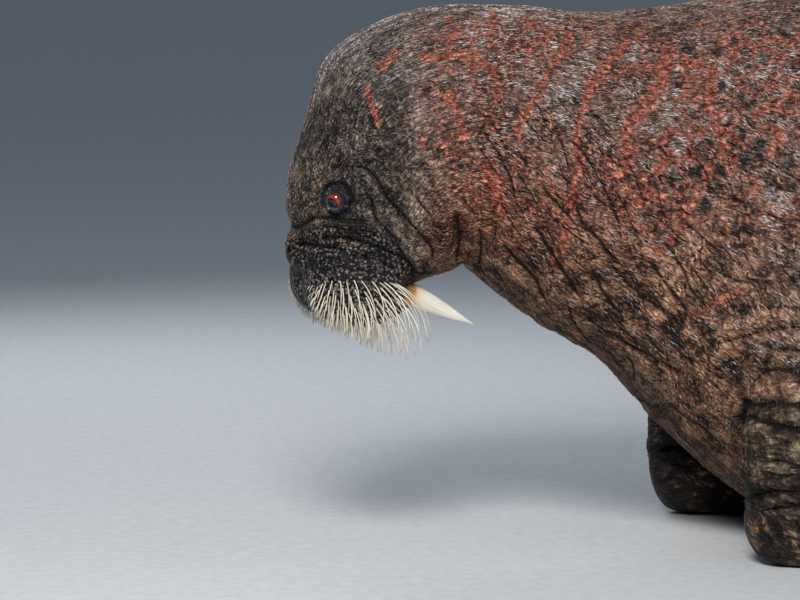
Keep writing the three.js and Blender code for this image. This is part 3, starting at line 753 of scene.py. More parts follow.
class Surface:
    """A mesh as arrays, in millimetres: places, edges, triangles, and what its faces and corners carry."""

    def __init__(self, piece):
        data = piece.data
        self.data = data
        self.places = self._read(data.vertices, "co", 3) / MM
        self.edges = self._read(data.edges, "vertices", 2, np.int32)
        self.triangles = self._read(data.loop_triangles, "vertices", 3, np.int32)
        self.triangle_corners = self._read(data.loop_triangles, "loops", 3, np.int32)
        self.corner_place = self._read(data.loops, "vertex_index", 1, np.int32)[:, 0]
        self.lie = self._read(data.uv_layers["Lie"].uv, "vector", 2)
        self.chart = self._read(data.uv_layers["Chart"].uv, "vector", 2)
        sizes = self._read(data.polygons, "loop_total", 1, np.int32)[:, 0]
        face_kind = self._read(data.attributes["kind"].data, "value", 1)[:, 0]
        corner_kind = np.repeat(face_kind, sizes)
        self.kind_low = np.full(len(self.places), 99.0)
        self.kind_high = np.zeros(len(self.places))
        np.minimum.at(self.kind_low, self.corner_place, corner_kind)
        np.maximum.at(self.kind_high, self.corner_place, corner_kind)
        self.place_lie = np.zeros((len(self.places), 2))
        self.place_lie[self.corner_place] = self.lie

    @staticmethod
    def _read(source, name, width, kind=np.float32):
        values = np.empty(len(source) * width, kind)
        source.foreach_get(name, values)
        values = values.reshape(-1, width)
        return values.astype(float) if kind is np.float32 else values

    def normals(self):
        """Each place's normal: the sum of its triangles' cross products, so larger ones count more."""
        a, b, c = (self.places[self.triangles[:, k]] for k in range(3))
        cross = np.cross(b - a, c - a)
        total = np.zeros_like(self.places)
        for k in range(3):
            np.add.at(total, self.triangles[:, k], cross)
        return unit(total)

    def distance_from(self, start, limit):
        """Distance along the edges from the starting places: each round passes on the shorter way."""
        far = np.where(start, 0.0, 1e6)
        a, b = self.edges.T
        length = np.linalg.norm(self.places[a] - self.places[b], axis=1)
        for _ in range(80):
            before = far.copy()
            np.minimum.at(far, a, before[b] + length)
            np.minimum.at(far, b, before[a] + length)
            settled = np.abs(far - before)[before < limit].max(initial=0) == 0
            if settled and not np.any((before >= limit) & (far < limit)):
                break
        return far

    def smooth(self, weight, rounds):
        """Moves each place towards the mean of its neighbours, by half its weight in each round."""
        moving = weight > 1e-3
        kept = moving[self.edges[:, 0]] | moving[self.edges[:, 1]]
        a, b = self.edges[kept].T
        size = len(self.places)
        count = np.maximum(np.bincount(a, minlength=size) + np.bincount(b, minlength=size), 1)
        for _ in range(rounds):
            for k in range(3):
                part = self.places[:, k]
                total = np.bincount(a, part[b], size) + np.bincount(b, part[a], size)
                self.places[:, k] = part + 0.5 * weight * (total / count - part)

    def store(self):
        """Writes the places back to the mesh."""
        self.data.vertices.foreach_set("co", (self.places * MM).astype(np.float32).ravel())
        self.data.update()


def soften_seams(surface):
    """Rounds off the lines where the forms meet: little on the head, and widely where the limbs join."""
    seam = surface.kind_low != surface.kind_high
    on_head = surface.kind_high <= LID
    cheek = on_head & (surface.kind_high == PAD) & (surface.places[:, 2] > 512)
    for chosen, reach, rounds in ((cheek, 34, 60), (on_head, 9, 10), (~on_head, 60, 50)):
        chosen = chosen & seam
        far = surface.distance_from(chosen, reach)
        surface.smooth(1 - ease(far, 0.3 * reach, reach), rounds)


def side_view(places):
    """Side view (x, z) of places, shifted at random on her right side so that both sides aren't alike."""
    right = ease(places[:, 1], -20, 60)
    shift = np.stack([value_noise(places, SHIFT_SIZE, SEED + k, 2) for k in (1, 2)], 1)
    return places[:, [0, 2]] + shift * right[:, None] * SHIFT_MOST


def crack_lines(seed):
    """Cracks of the neck and chest: from random starts they run down to the tail in steps, each step turned a
    little at random, and one is kept if it stays clear of the creases and of the cracks before it."""
    rng = np.random.default_rng(seed)
    taken = [resampled(points, 12) for _, _, points in CREASES]
    made = []
    for depth, half_width, gap, steps, tries, turn in CRACK_SORTS:
        for start, draw in zip(rng.uniform(*CRACK_FIELD, (tries, 2)), rng.random(tries)):
            hidden = 0.85 * ease(start[1], 580, 800) + 0.6 * ease(start[0], -640, -500)
            if draw < hidden or (start[0] > -660 and start[1] < 330):
                continue
            count = rng.integers(*steps)
            fall = np.interp(start[0], *zip(*CRACK_FALL)) - turn
            fall = np.radians(fall + np.cumsum(rng.normal(0, 8, count)))
            run = np.cumsum(CRACK_STEP * np.stack([np.cos(fall), -np.sin(fall)], 1), axis=0)
            line = start + np.vstack([[0, 0], run])
            if np.linalg.norm(np.concatenate(taken)[:, None] - line, axis=2).min() > gap:
                taken.append(line)
                made.append((depth, half_width, line))
    return made


def fold_depth(surface):
    """Creases and cracks, with one in front of each arm and one round the mound of the lids. Gives how deep
    they draw the skin in, a bell shape across each line, how far it swells beside them, the distance from the
    nearest in millimetres, and that distance over the width of its painted shade line, signed by its side."""
    flat = side_view(surface.places)
    deep, swell, apart, signed = (np.full(len(flat), value) for value in (0.0, 0.0, CLEAR, CLEAR))
    x, y, z = surface.places.T
    on_arm = mix(0.05, 1, ease(np.abs(y), *ARM_INSIDE)) * np.where(y > 0, 0.5, 1)
    for depth, half_width, points in (*CREASES, *crack_lines(SEED)):
        weight, distance, side = line_field(flat, points, half_width, 3 * half_width, 40)
        if np.max(points, axis=0)[1] < ARM_TOP and depth > 5:
            weight, distance = weight * on_arm, distance / on_arm
        deep = np.maximum(deep, depth * weight)
        roll = np.exp(-(((distance / half_width - 2.4) / 1.3) ** 2))
        swell = np.maximum(swell, 0.4 * depth * roll)
        # Distance scaled to the width of the painted shade line drawn along this line
        drawn = distance * LINE_WIDTH / (half_width + 0.6 * max(0, depth - 8))
        signed = np.where(drawn < np.abs(signed), drawn * side, signed)
        apart = np.minimum(apart, distance)
    low, high = ARM_CREASE_HEIGHTS
    seam = (surface.kind_low == BODY) & (surface.kind_high == ARM)
    seam = seam & (x < ARM_CREASE_END) & (z > low) & (z < high)
    gap, shown = lid_fold(surface.places)
    others = (
        (surface.distance_from(seam, CLEAR), 1, ARM_CREASE, 0.35, 0.7),
        (shown, np.sign(gap), LID_CREASE, 1, 1),
    )
    for distance, side, (depth, half_width), drawn, near in others:
        deep = np.maximum(deep, depth * np.exp(-((distance / half_width) ** 2)))
        signed = np.where(drawn * distance < np.abs(signed), side * drawn * distance, signed)
        apart = np.minimum(apart, near * distance)
    return deep, swell, apart, signed


def build_skin():
    """The whole skin: forms united, seams softened, creases, nostrils, ears and loose lumps worked in."""
    skin = joined_flesh()
    surface = Surface(skin)
    soften_seams(surface)
    places = surface.places
    deep, swell, apart, signed = fold_depth(surface)
    lie = surface.place_lie * 1000
    body = ease(-surface.kind_high, -0.5, 0.5)
    neck = ease(places[:, 0], -1080, -1000)
    trunk = ease(places[:, 0], -520, -400)
    bend = np.stack([value_noise(places, 70, SEED + k, 2) for k in (5, 6)], 1) * 16
    cell = cell_edges((lie + bend) @ np.array(WRINKLE_AXES) / WRINKLE_CELL, SEED)
    wrinkle = (1 - ease(cell, 0.0, 0.3)) * trunk * body * ease(value_noise(places, 160, SEED + 9), -0.5, 0.4)
    lumps = value_noise(places, LUMP_SIZE, SEED + 7, 2) * mix(*LUMP_HEIGHT, neck)
    move = lumps + swell - np.maximum(deep, WRINKLE_DEPTH * wrinkle)
    front = places[:, 0] < -1315
    mirrored = np.stack([-np.abs(places[:, 1]), places[:, 2]], 1)
    nostril = line_field(mirrored, NOSTRIL, NOSTRIL_WIDTH, 6)[0] * front
    ear = np.exp(-((np.linalg.norm(np.abs(places) * (-1, 1, 1) - EAR_PLACE, axis=1) / EAR_RADIUS) ** 2))
    move = move - PIT_DEPTH * nostril - PIT_DEPTH * ear
    surface.places = places + surface.normals() * (move * ease(places[:, 2], 4, 40))[:, None]
    surface.places[:, 2] = np.maximum(surface.places[:, 2], 0)
    surface.places[:, 1] = np.clip(surface.places[:, 1], -HALF_SPAN, HALF_SPAN)
    surface.store()
    # Painted shade: darker in creases and wrinkles and in the pits of the nostrils and ears
    painted_shade = np.clip(0.5 * ease(deep, 0.5, 7) + 0.7 * wrinkle + 1.6 * nostril + ear, 0, 1)
    # Painted shade on the parts that face down, behind the front of the head
    under = ease(-surface.normals()[:, 2], 0.1, 0.7) * (places[:, 0] > -1130)
    painted_shade = np.maximum(painted_shade, 0.25 * under)
    return skin, surface, dict(painted_shade=painted_shade, apart=apart, signed=signed)


def spread(surface, field, rounds):
    """A field averaged with its neighbours, over and over, so that its edge becomes soft."""
    field = np.asarray(field, float)
    a, b = surface.edges.T
    size = len(field)
    count = np.maximum(np.bincount(a, minlength=size) + np.bincount(b, minlength=size), 1)
    for _ in range(rounds):
        total = np.bincount(a, field[b], size) + np.bincount(b, field[a], size)
        field = 0.5 * field + 0.5 * total / count
    return field


def trunk_scars(seed):
    """Scratches behind the shoulder in side view: each starts anywhere and wanders, mostly downwards."""
    rng = np.random.default_rng(seed)
    made = []
    for _ in range(TRUNK_SCARS):
        start = rng.uniform(*TRUNK_FIELD)
        heading = rng.normal(-1.3, 0.6) + np.cumsum(rng.normal(0, 0.35, rng.integers(3, 7)))
        steps = rng.uniform(18, 34) * np.stack([np.cos(heading), np.sin(heading)], 1)
        made.append((rng.uniform(5, 9), start + np.vstack([[0, 0], np.cumsum(steps, axis=0)])))
    return made


def markings(surface, folds):
    """What skin and coat carry at each place, mostly from 0 to 1.

    bare: no hair. muzzle: pebbled dark skin. blade: flipper leather. limb: the wrinkled arms and legs.
    wet_and_highlight: rims of the lids, moist, and lighter there as a painted highlight. pale: grizzled hair,
    most on the crown, nape, flanks and shoulder, and paler on upward-facing parts as painted top light.
    rust: the red-brown of the lower neck and chest. face: the olive-grey of the head. ochre: tan patches of
    the brow. arm: the dark olive of the arms below the elbow. scar: healed scratches. net: where finer ones
    make a net. stain: reddened skin between them. spot: where the cells of the net are blue-black in the
    middle. painted_shade: how dark the painted shade is in a crease, wrinkle or pit, or on the underside.
    apart and signed: see fold_depth."""
    places, normal = surface.places, surface.normals()
    x, y, z = places.T
    beside = np.stack([x, np.abs(y), z], 1)
    muzzle = 1 - ease(np.linalg.norm((beside - MUZZLE_CENTRE) / MUZZLE_RADII, axis=1), 0.92, 1.06)
    forward, up, out = eye_plane(places)
    opening = np.hypot((forward - LID_OPENING[0]) / LID_STRETCH[0], (up - LID_OPENING[1]) / LID_STRETCH[1])
    mound = np.hypot(forward - LID_MOUND[0], up - LID_MOUND[1]) + 60 * (out < -25)
    wrist = (surface.kind_high == ARM) & (z < WRIST_TOP)
    blade = wrist | np.isin(surface.kind_high, (HAND_BLADE, FOOT_BLADE))
    blade = ease(spread(surface, blade, 20), 0.15, 0.85)
    limb = np.isin(surface.kind_high, (ARM, LEG)) & (z < LIMB_TOP)
    limb = ease(spread(surface, limb, 24), 0.15, 0.85)
    bare = np.maximum.reduce([muzzle, 1 - ease(mound, *LID_EDGE), blade])
    face = (1 - ease(x, -1230, -1130)) * (1 - ease(z, 800, 900))
    low = ease(z, 610, 650)
    ochre = ease(-x, mix(1225, 1290, low), mix(1300, 1330, low)) * ease(z, 560, 585)
    ochre = ochre * (1 - ease(z, 720, 800)) * ease(mound, *LID_EDGE)
    ochre = ochre * 0.8 * ease(value_noise(places, 30, SEED + 18, 3), -0.2, 0.3)
    # Grizzled hair: paler higher up, and paler on upward-facing parts as painted top light
    pale = ease(z / 1000 + 0.35 * normal[:, 2] + 0.10 * (x > -500), 0.42, 1.12) * (1 - 0.8 * face)
    from_shoulder = (x - SHOULDER[0]) ** 2 + (z - SHOULDER[1]) ** 2
    pale = np.minimum(1, pale + 0.65 * np.exp(-from_shoulder / SHOULDER_RADIUS**2))
    pale = pale * (1 - 0.75 * ease(x, -1000, -780) * ease(z, 880, 980))
    rust = ease(-x, 380, 620) * (1 - ease(z, 560, 860)) * (1 - face) * ease(x, -1180, -1060)
    arm = limb * (1 - ease(z, 265, 330))
    side = side_view(places)
    scar = np.zeros(len(places))
    for sign, lines in ((-1, SCARS), (1, SCARS), (-1, trunk_scars(SEED)), (1, trunk_scars(SEED + 1))):
        here = np.where(np.sign(y) == sign, 1.0, 0.25 * (np.abs(y) < 60))
        for half_width, points in lines:
            scar = np.maximum(scar, line_field(side, points, half_width, half_width)[0] * here)
    zone = ease(x, -1210, -1080) * (1 - ease(x, -250, 500))
    zone = zone * ease(z, 480, 690) * (1 - 0.5 * ease(z, 920, 1000))
    net = zone * ease(value_noise(places, 130, SEED + 14, 2), -0.3, 0.2)
    stain = zone * mix(0.45, 1, ease(value_noise(places, 52, SEED + 15, 3), -0.3, 0.4))
    spot = zone * ease(x, -860, -640) * ease(value_noise(places, 80, SEED + 16, 2), -0.35, 0.15)
    # Rims of the lids: moist, and painted a lighter blue-grey there as a painted highlight
    wet_and_highlight = (1 - ease(opening, 14.5, 17.5)) * (surface.kind_high == LID)
    named = dict(bare=bare, muzzle=muzzle, blade=blade, limb=limb, wet_and_highlight=wet_and_highlight, pale=pale, rust=rust, face=face)
    return named | dict(ochre=ochre, arm=arm, scar=scar, net=net, stain=stain, spot=spot) | folds


# Coat

def triangle_flow(surface):
    """For each triangle of the skin the way its hair lies: the slope of the distance along its form."""
    a, b, c = (surface.places[surface.triangles[:, k]] for k in range(3))
    along = surface.lie[:, 1][surface.triangle_corners]
    e, f = b - a, c - a
    de, df = along[:, 1] - along[:, 0], along[:, 2] - along[:, 0]
    ee, ef, ff = (e * e).sum(1), (e * f).sum(1), (f * f).sum(1)
    whole = np.maximum(ee * ff - ef**2, 1e-9)
    flow = ((de * ff - df * ef) / whole)[:, None] * e + ((df * ee - de * ef) / whole)[:, None] * f
    return unit(flow), 0.5 * np.sqrt(whole)


# Most tufts, and the faces of one: two rings of three corners, closed at the root, and a tip
TUFT_LIMIT = 148000
TUFT_FACES = np.array(
    [
        (0, 2, 1), (0, 1, 4), (0, 4, 3), (1, 2, 5), (1, 5, 4),
        (2, 0, 3), (2, 3, 5), (3, 4, 6), (4, 5, 6), (5, 3, 6),
    ]
)
# Most triangles in one piece of the coat
PIECE_LIMIT = 190000
# Where the denser coat of the front ends, and the tufts to the square millimetre behind it and ahead
FRONT_END = (-420, 120)
COAT_DENSITY = (0.018, 0.066)
# Length and width of a tuft in millimetres: behind there, ahead, and on the face, the limbs and low down
TUFT_LENGTH = (20, 11.5, 6.5)
TUFT_WIDTH = (2.7, 1.75, 1.25)
# Rings of a tuft: share of its length, height over the skin as a share of its lift, and width and thickness
TUFT_STATIONS = ((0.0, -0.7, 0.75, 0.3), (0.5, 1.0, 1.0, 0.42), (1.0, 0.35, 0.0, 0.0))
# Size in metres of a clump of tufts, round and along the body
CLUMP_SIZE = (0.009, 0.026)
# What a tuft takes from the skin at its root, for its colour
TUFT_MARKS = (
    "bare", "blade", "limb", "rust", "face", "ochre", "arm", "scar", "net", "stain", "spot", "painted_shade",
    "apart", "signed", "pale",
)


def coat_roots(surface, marks, rng):
    """Roots of the tufts, spread over the triangles by their area and the coat's density at their corners."""
    places = surface.places
    front = 1 - ease(places[:, 0], *FRONT_END)
    density = mix(*COAT_DENSITY, front) * (1 - ease(marks["bare"], 0.25, 0.75)) * (1 - 0.75 * marks["scar"])
    density *= ease(places[:, 2], 6, 60) * mix(0.5, 1.0, marks["pale"]) * (1 - 0.8 * marks["painted_shade"])
    density *= (1 - 0.5 * marks["limb"]) * mix(0.06, 1.0, ease(np.abs(marks["signed"]), 2.5, 7))
    flow, area = triangle_flow(surface)
    share = np.cumsum(area * density[surface.triangles].mean(1))
    count = min(int(share[-1]), TUFT_LIMIT)
    picked = np.searchsorted(share, (np.arange(count) + rng.random(count)) / count * share[-1])
    picked = np.minimum(picked, len(area) - 1)
    weight = rng.dirichlet((1, 1, 1), count)
    corner = surface.triangles[picked]
    root = (places[corner] * weight[..., None]).sum(1)
    normal = unit((surface.normals()[corner] * weight[..., None]).sum(1))
    chart = (surface.chart[surface.triangle_corners[picked]] * weight[..., None]).sum(1)
    lie = (surface.lie[surface.triangle_corners[picked]] * weight[..., None]).sum(1)
    fields = {name: (marks[name][corner] * weight).sum(1) for name in TUFT_MARKS}
    along = unit(flow[picked] - normal * (flow[picked] * normal).sum(1, keepdims=True))
    clump = np.column_stack([lie[:, 0] / CLUMP_SIZE[0], lie[:, 1] / CLUMP_SIZE[1], root[:, 1] / 300])
    clump = value_noise(clump, 1, SEED + 30, 2)
    kept = rng.random(count) < mix(0.55, 1.0, ease(clump, -0.4, 0.2))
    fields = {name: field[kept] for name, field in fields.items()}
    return *(part[kept] for part in (root, normal, along, chart, clump)), fields


def coat_pieces(surface, marks):
    """The coat as flat, tapered tufts that lie along the skin, in pieces from the head to the tail. A tuft
    is three-sided: a ring sunk in the skin, a wider ring half way, lifted a little, and a tip near it."""
    rng = np.random.default_rng(SEED)
    root, normal, along, chart, clump, fields = coat_roots(surface, marks, rng)
    count = len(root)
    aslant = 0.42 * np.sign(root[:, 1]) * ease(np.abs(root[:, 1]), 0, 120) * (1 - fields["limb"])
    sway = aslant + 0.8 * value_noise(root, 60, SEED + 20, 2) + rng.normal(0, 0.16, count)
    side = np.cross(normal, along)
    along = along * np.cos(sway)[:, None] + side * np.sin(sway)[:, None]
    side = np.cross(normal, along)
    low = 0.6 * (1 - ease(root[:, 2], 200, 520))
    small = np.maximum.reduce([1 - ease(root[:, 0], -1150, -960), fields["limb"], low])
    front = 1 - ease(root[:, 0], *FRONT_END)
    length, width = (
        mix(mix(behind, ahead, front), least, small) for behind, ahead, least in (TUFT_LENGTH, TUFT_WIDTH)
    )
    length = length * rng.uniform(0.7, 1.3, count)
    width = width * rng.uniform(0.75, 1.25, count)
    lift = rng.uniform(0.4, 1.6, count)
    rings = []
    for share, height, wide, thick in TUFT_STATIONS:
        centre = root + along * (length * share)[:, None] + normal * (lift * height)[:, None]
        reach = side * (0.5 * width * wide)[:, None]
        rings += [centre - reach, centre + reach, centre + normal * (width * thick)[:, None]]
    places = np.stack(rings[:7], 1)
    places = np.clip(places, *(np.array(corner) / MM for corner in CAD_BOX))
    patch = 0.0015 * np.array([(-1, -1), (1, -1), (0, -1), (-1, 0), (1, 0), (0, 0), (0, 1)], float)
    tone = 0.38 + 0.75 * clump + 0.2 * value_noise(root, 70, SEED + 31, 2) + rng.normal(0, 0.2, count)
    tone = tone + 0.45 * value_noise(root, 4.5, SEED + 32)
    fields["tone"] = np.clip(tone, 0, 1)
    order = np.argsort(root[:, 0])
    points, pieces = places.shape[1], int(np.ceil(len(TUFT_FACES) * count / PIECE_LIMIT))
    made = []
    for number, chosen in enumerate(np.array_split(order, pieces)):
        index = points * np.arange(len(chosen))[:, None, None] + TUFT_FACES
        sizes = np.full(len(TUFT_FACES) * len(chosen), 3)
        piece = mesh_object(f"coat_{number + 1}", places[chosen].reshape(-1, 3), index.ravel(), sizes)
        add_uv(piece, "OFBake", chart[chosen][:, None, None] + patch[TUFT_FACES])
        values = {name: np.repeat(field[chosen], points) for name, field in fields.items()}
        add_values(piece, "POINT", **values)
        made.append(piece)
    return made


# Eyes, tusks, nails and whiskers

def both_sides(name, rings, ends="point"):
    """Two pieces of the same rings, her left one and its mirror image on the right, without the unwrap."""
    for side, mirrored in (("left", False), ("right", True)):
        yield side, ring_form(f"{name}_{side}", rings, 0, (0, 0, 1, 1), ends, mirrored)


def eye_rings():
    """Her left eyeball: rings round the way she looks, on a sphere with a low bulge for the cornea."""
    forward, up, out = eye_axes()
    gaze = unit(out + EYE_LEAD * forward - EYE_DROP * up)
    across = unit(np.cross(up, gaze))
    over = np.cross(gaze, across)
    turn = np.linspace(0, np.pi, 40)[:, None, None]
    around = 2 * np.pi * np.arange(64)[None, :, None] / 64
    radius = EYE_RADIUS + CORNEA_RISE * np.exp(-((turn / CORNEA_REACH) ** 2)) - CORNEA_RISE
    way = gaze * np.cos(turn) + (across * np.cos(around) + over * np.sin(around)) * np.sin(turn)
    return np.array(EYE_CENTRE) + radius * way, np.repeat(turn[:, :, 0], 64, 1)


def tusk_rings():
    """Her left tusk: ovals along a straight line. Their size is a soft least of 1 and the rest of the
    length over the length of the point: t over the cube root of 1 plus t cubed."""
    root, tip = np.array(TUSK_ROOT, float), np.array(TUSK_TIP, float)
    along = unit(tip - root)
    wide = unit(np.array([0.0, 1, 0]) - along * along[1])
    deep = np.cross(along, wide)
    share = (1 - np.cos(np.pi * np.linspace(0, 1, 72))) / 2
    rest = (1 - share) / TUSK_POINT
    taper = rest / np.cbrt(1 + rest**3)
    taper[0] = 0
    turn = 2 * np.pi * np.arange(48)[None, :, None] / 48
    centre = root + (tip - root) * share[:, None]
    size = taper[:, None, None]
    return centre[:, None] + (wide * TUSK_NARROW * np.cos(turn) + deep * TUSK_WIDE * np.sin(turn)) * size


def point_field(piece, name, rings, values, ends="point"):
    """Gives a piece of rings a number field from one value for each place of the rings."""
    used = np.unique(ring_ids(*rings.shape[:2], ends))
    add_values(piece, "POINT", **{name: np.broadcast_to(values, rings.shape[:2]).ravel()[used]})


def nail_pieces():
    """Small nails, one on each digit and set back from its edge: half-sunk ellipsoids that point outwards."""
    across = (np.arange(DIGITS) - (DIGITS - 1) / 2) / DIGITS * 2
    ball = ellipsoid_rings((0, 0, 0), (1, 1, 1), 0, 14, 20)
    ahead, beside, above = ball[..., 2:], ball[..., 1:2], ball[..., :1]
    made = []
    for limb, (shape, long, wide, high) in NAILS.items():
        place = blade_point(shape, NAIL_PLACE, across, True)
        along = unit(place - blade_point(shape, NAIL_PLACE - 0.06, across, True))
        side = unit(np.cross((0, 0, 1.0), along))
        rise = np.cross(along, side)
        for side_name, sign in (("left", 1), ("right", -1)):
            parts = []
            for k in range(DIGITS):
                nail = place[k] + ahead * along[k] * long + beside * side[k] * wide * (1 - 0.25 * ahead)
                nail = nail + above * rise[k] * high
                parts.append(ring_arrays(nail * (1, sign, 1), "point"))
            made.append(joined_arrays(f"nails_{limb}_{side_name}", parts))
    return made


def joined_arrays(name, parts):
    """One object of several closed surfaces."""
    offsets = np.cumsum([0] + [len(p[0]) for p in parts[:-1]])
    places = np.concatenate([p[0] for p in parts])
    corners = np.concatenate([p[1] + offset for p, offset in zip(parts, offsets)])
    return mesh_object(name, places, corners, np.concatenate([p[2] for p in parts]))


WHISKER_ROWS = 10
WHISKERS_IN_ROW = 16
WHISKER_SIDES = 6
WHISKER_LENGTH = (10, 148)
WHISKER_SINK = 7
# Where the whiskers grow on the pad, in radians: round it from front to back, and from the top row down
WHISKER_ROUND = (2.75, 0.8)
WHISKER_RISE = (0.2, -1.08)
# Radius of a whisker from its sunk root over its small mound to the tip: (share of its length, radius)
WHISKER_PROFILE = (
    (0, 2.6), (0.05, 2.6), (0.09, 1.5), (0.2, 1.3), (0.5, 1.1), (0.8, 0.8), (0.95, 0.5), (1, 0.3),
)


def whisker_piece(side_name, sign, seed):
    """The whiskers of one pad, in rows over its lower outer half, short by the nose and long at the back.
    Each is a six-sided tapered bristle along a bent line of three control points, outwards and then down."""
    rng = np.random.default_rng(seed)
    row, k = np.divmod(np.arange(WHISKER_ROWS * WHISKERS_IN_ROW), WHISKERS_IN_ROW)
    count = len(row)
    back = np.clip((k + (row % 2) * 0.5 + rng.normal(0, 0.16, count)) / (WHISKERS_IN_ROW - 0.5), 0, 1)
    down = np.clip((row + rng.normal(0, 0.16, count)) / (WHISKER_ROWS - 1), 0, 1)
    inset = tuple(r - 1.0 for r in PAD_RADII)
    root, out = pad_point(mix(*WHISKER_ROUND, back), mix(*WHISKER_RISE, down) - 0.4 * (1 - back) ** 2, inset)
    length = mix(*WHISKER_LENGTH, back**0.95) * mix(1, 0.3, down) * rng.uniform(0.88, 1.08, count)
    tilt = rng.normal(0, 0.07, (count, 3))
    lead = np.stack([mix(-0.1, 0.95, back), np.full(count, -0.1), np.full(count, -0.7)], 1)
    start = unit(0.8 * out + lead + tilt)
    end = unit(np.stack([mix(-0.25, 0.02, back), np.full(count, 0.02), np.full(count, -1.0)], 1) + 1.4 * tilt)
    middle = root + start * (0.5 * length)[:, None]
    ends = root - out * WHISKER_SINK, middle, middle + end * (0.55 * length)[:, None]
    share = np.linspace(0, 1, 13) ** 1.25
    t = share[None, :, None]
    a, b, c = (e[:, None] for e in ends)
    line = a * (1 - t) ** 2 + 2 * b * t * (1 - t) + c * t**2
    along = unit(2 * (b - a) * (1 - t) + 2 * (c - b) * t)
    wide = unit(np.array([0.0, 1, 0]) - along * along[..., 1:2])
    thick = np.cross(along, wide)
    radius = np.interp(share, *zip(*WHISKER_PROFILE))[None, :] * mix(0.75, 1, back)[:, None]
    radius = radius[..., None, None]
    turn = 2 * np.pi * np.arange(WHISKER_SIDES)[None, None, :, None] / WHISKER_SIDES
    rings = line[:, :, None] + radius * (wide[:, :, None] * np.cos(turn) + thick[:, :, None] * np.sin(turn))
    poles = [np.repeat(line[:, [end], None], WHISKER_SIDES, 2) for end in (0, -1)]
    rings = np.concatenate([poles[0], rings, poles[1]], 1) * (1, sign, 1)
    parts = [ring_arrays(one, "point") for one in rings]
    piece = joined_arrays(f"whiskers_{side_name}", parts)
    height = np.concatenate([[0], np.repeat(share, WHISKER_SIDES), [1]])
    add_values(piece, "POINT", along=np.tile(height, count), tone=np.repeat(rng.random(count), len(height)))
    return piece


# Materials

def linear(colour):
    """An sRGB hex colour as linear red, green, blue and 1: a straight foot, then a power of 2.4."""
    parts = np.array([int(colour[k : k + 2], 16) for k in (1, 3, 5)]) / 255
    bent = np.where(parts <= 0.04045, parts / 12.92, ((parts + 0.055) / 1.055) ** 2.4)
    return (*bent.tolist(), 1.0)


def add(tree, kind, inputs=None, output=0, stops=None, **settings):
    """Adds one shader node with its settings and links. inputs are values or sockets to link from, by name
    or by number among those in use, and stops are the places and colours of a ramp. Gives one output."""
    made = tree.nodes.new("ShaderNode" + kind)
    for name, value in settings.items():
        setattr(made, name, value)
    if stops:
        elements = made.color_ramp.elements
        while len(elements) < len(stops):
            elements.new(1.0)
        for element, (place, colour) in zip(elements, stops):
            element.position = place
            element.color = linear(colour)
    usable = [socket for socket in made.inputs if socket.enabled]
    for key, value in (inputs or {}).items():
        socket = usable[key] if isinstance(key, int) else next(s for s in usable if s.name == key)
        if isinstance(value, bpy.types.NodeSocket):
            tree.links.new(value, socket)
        else:
            socket.default_value = value
    return [socket for socket in made.outputs if socket.enabled][output]


def new_material(name, **sockets):
    """A material with its shader, whose uniform values are set on the shader's own sockets."""
    made = bpy.data.materials.new(name)
    made.use_nodes = True
    shader = made.node_tree.nodes["Principled BSDF"]
    for key, value in sockets.items():
        shader.inputs[key.replace("_", " ")].default_value = value
    return made, made.node_tree, shader


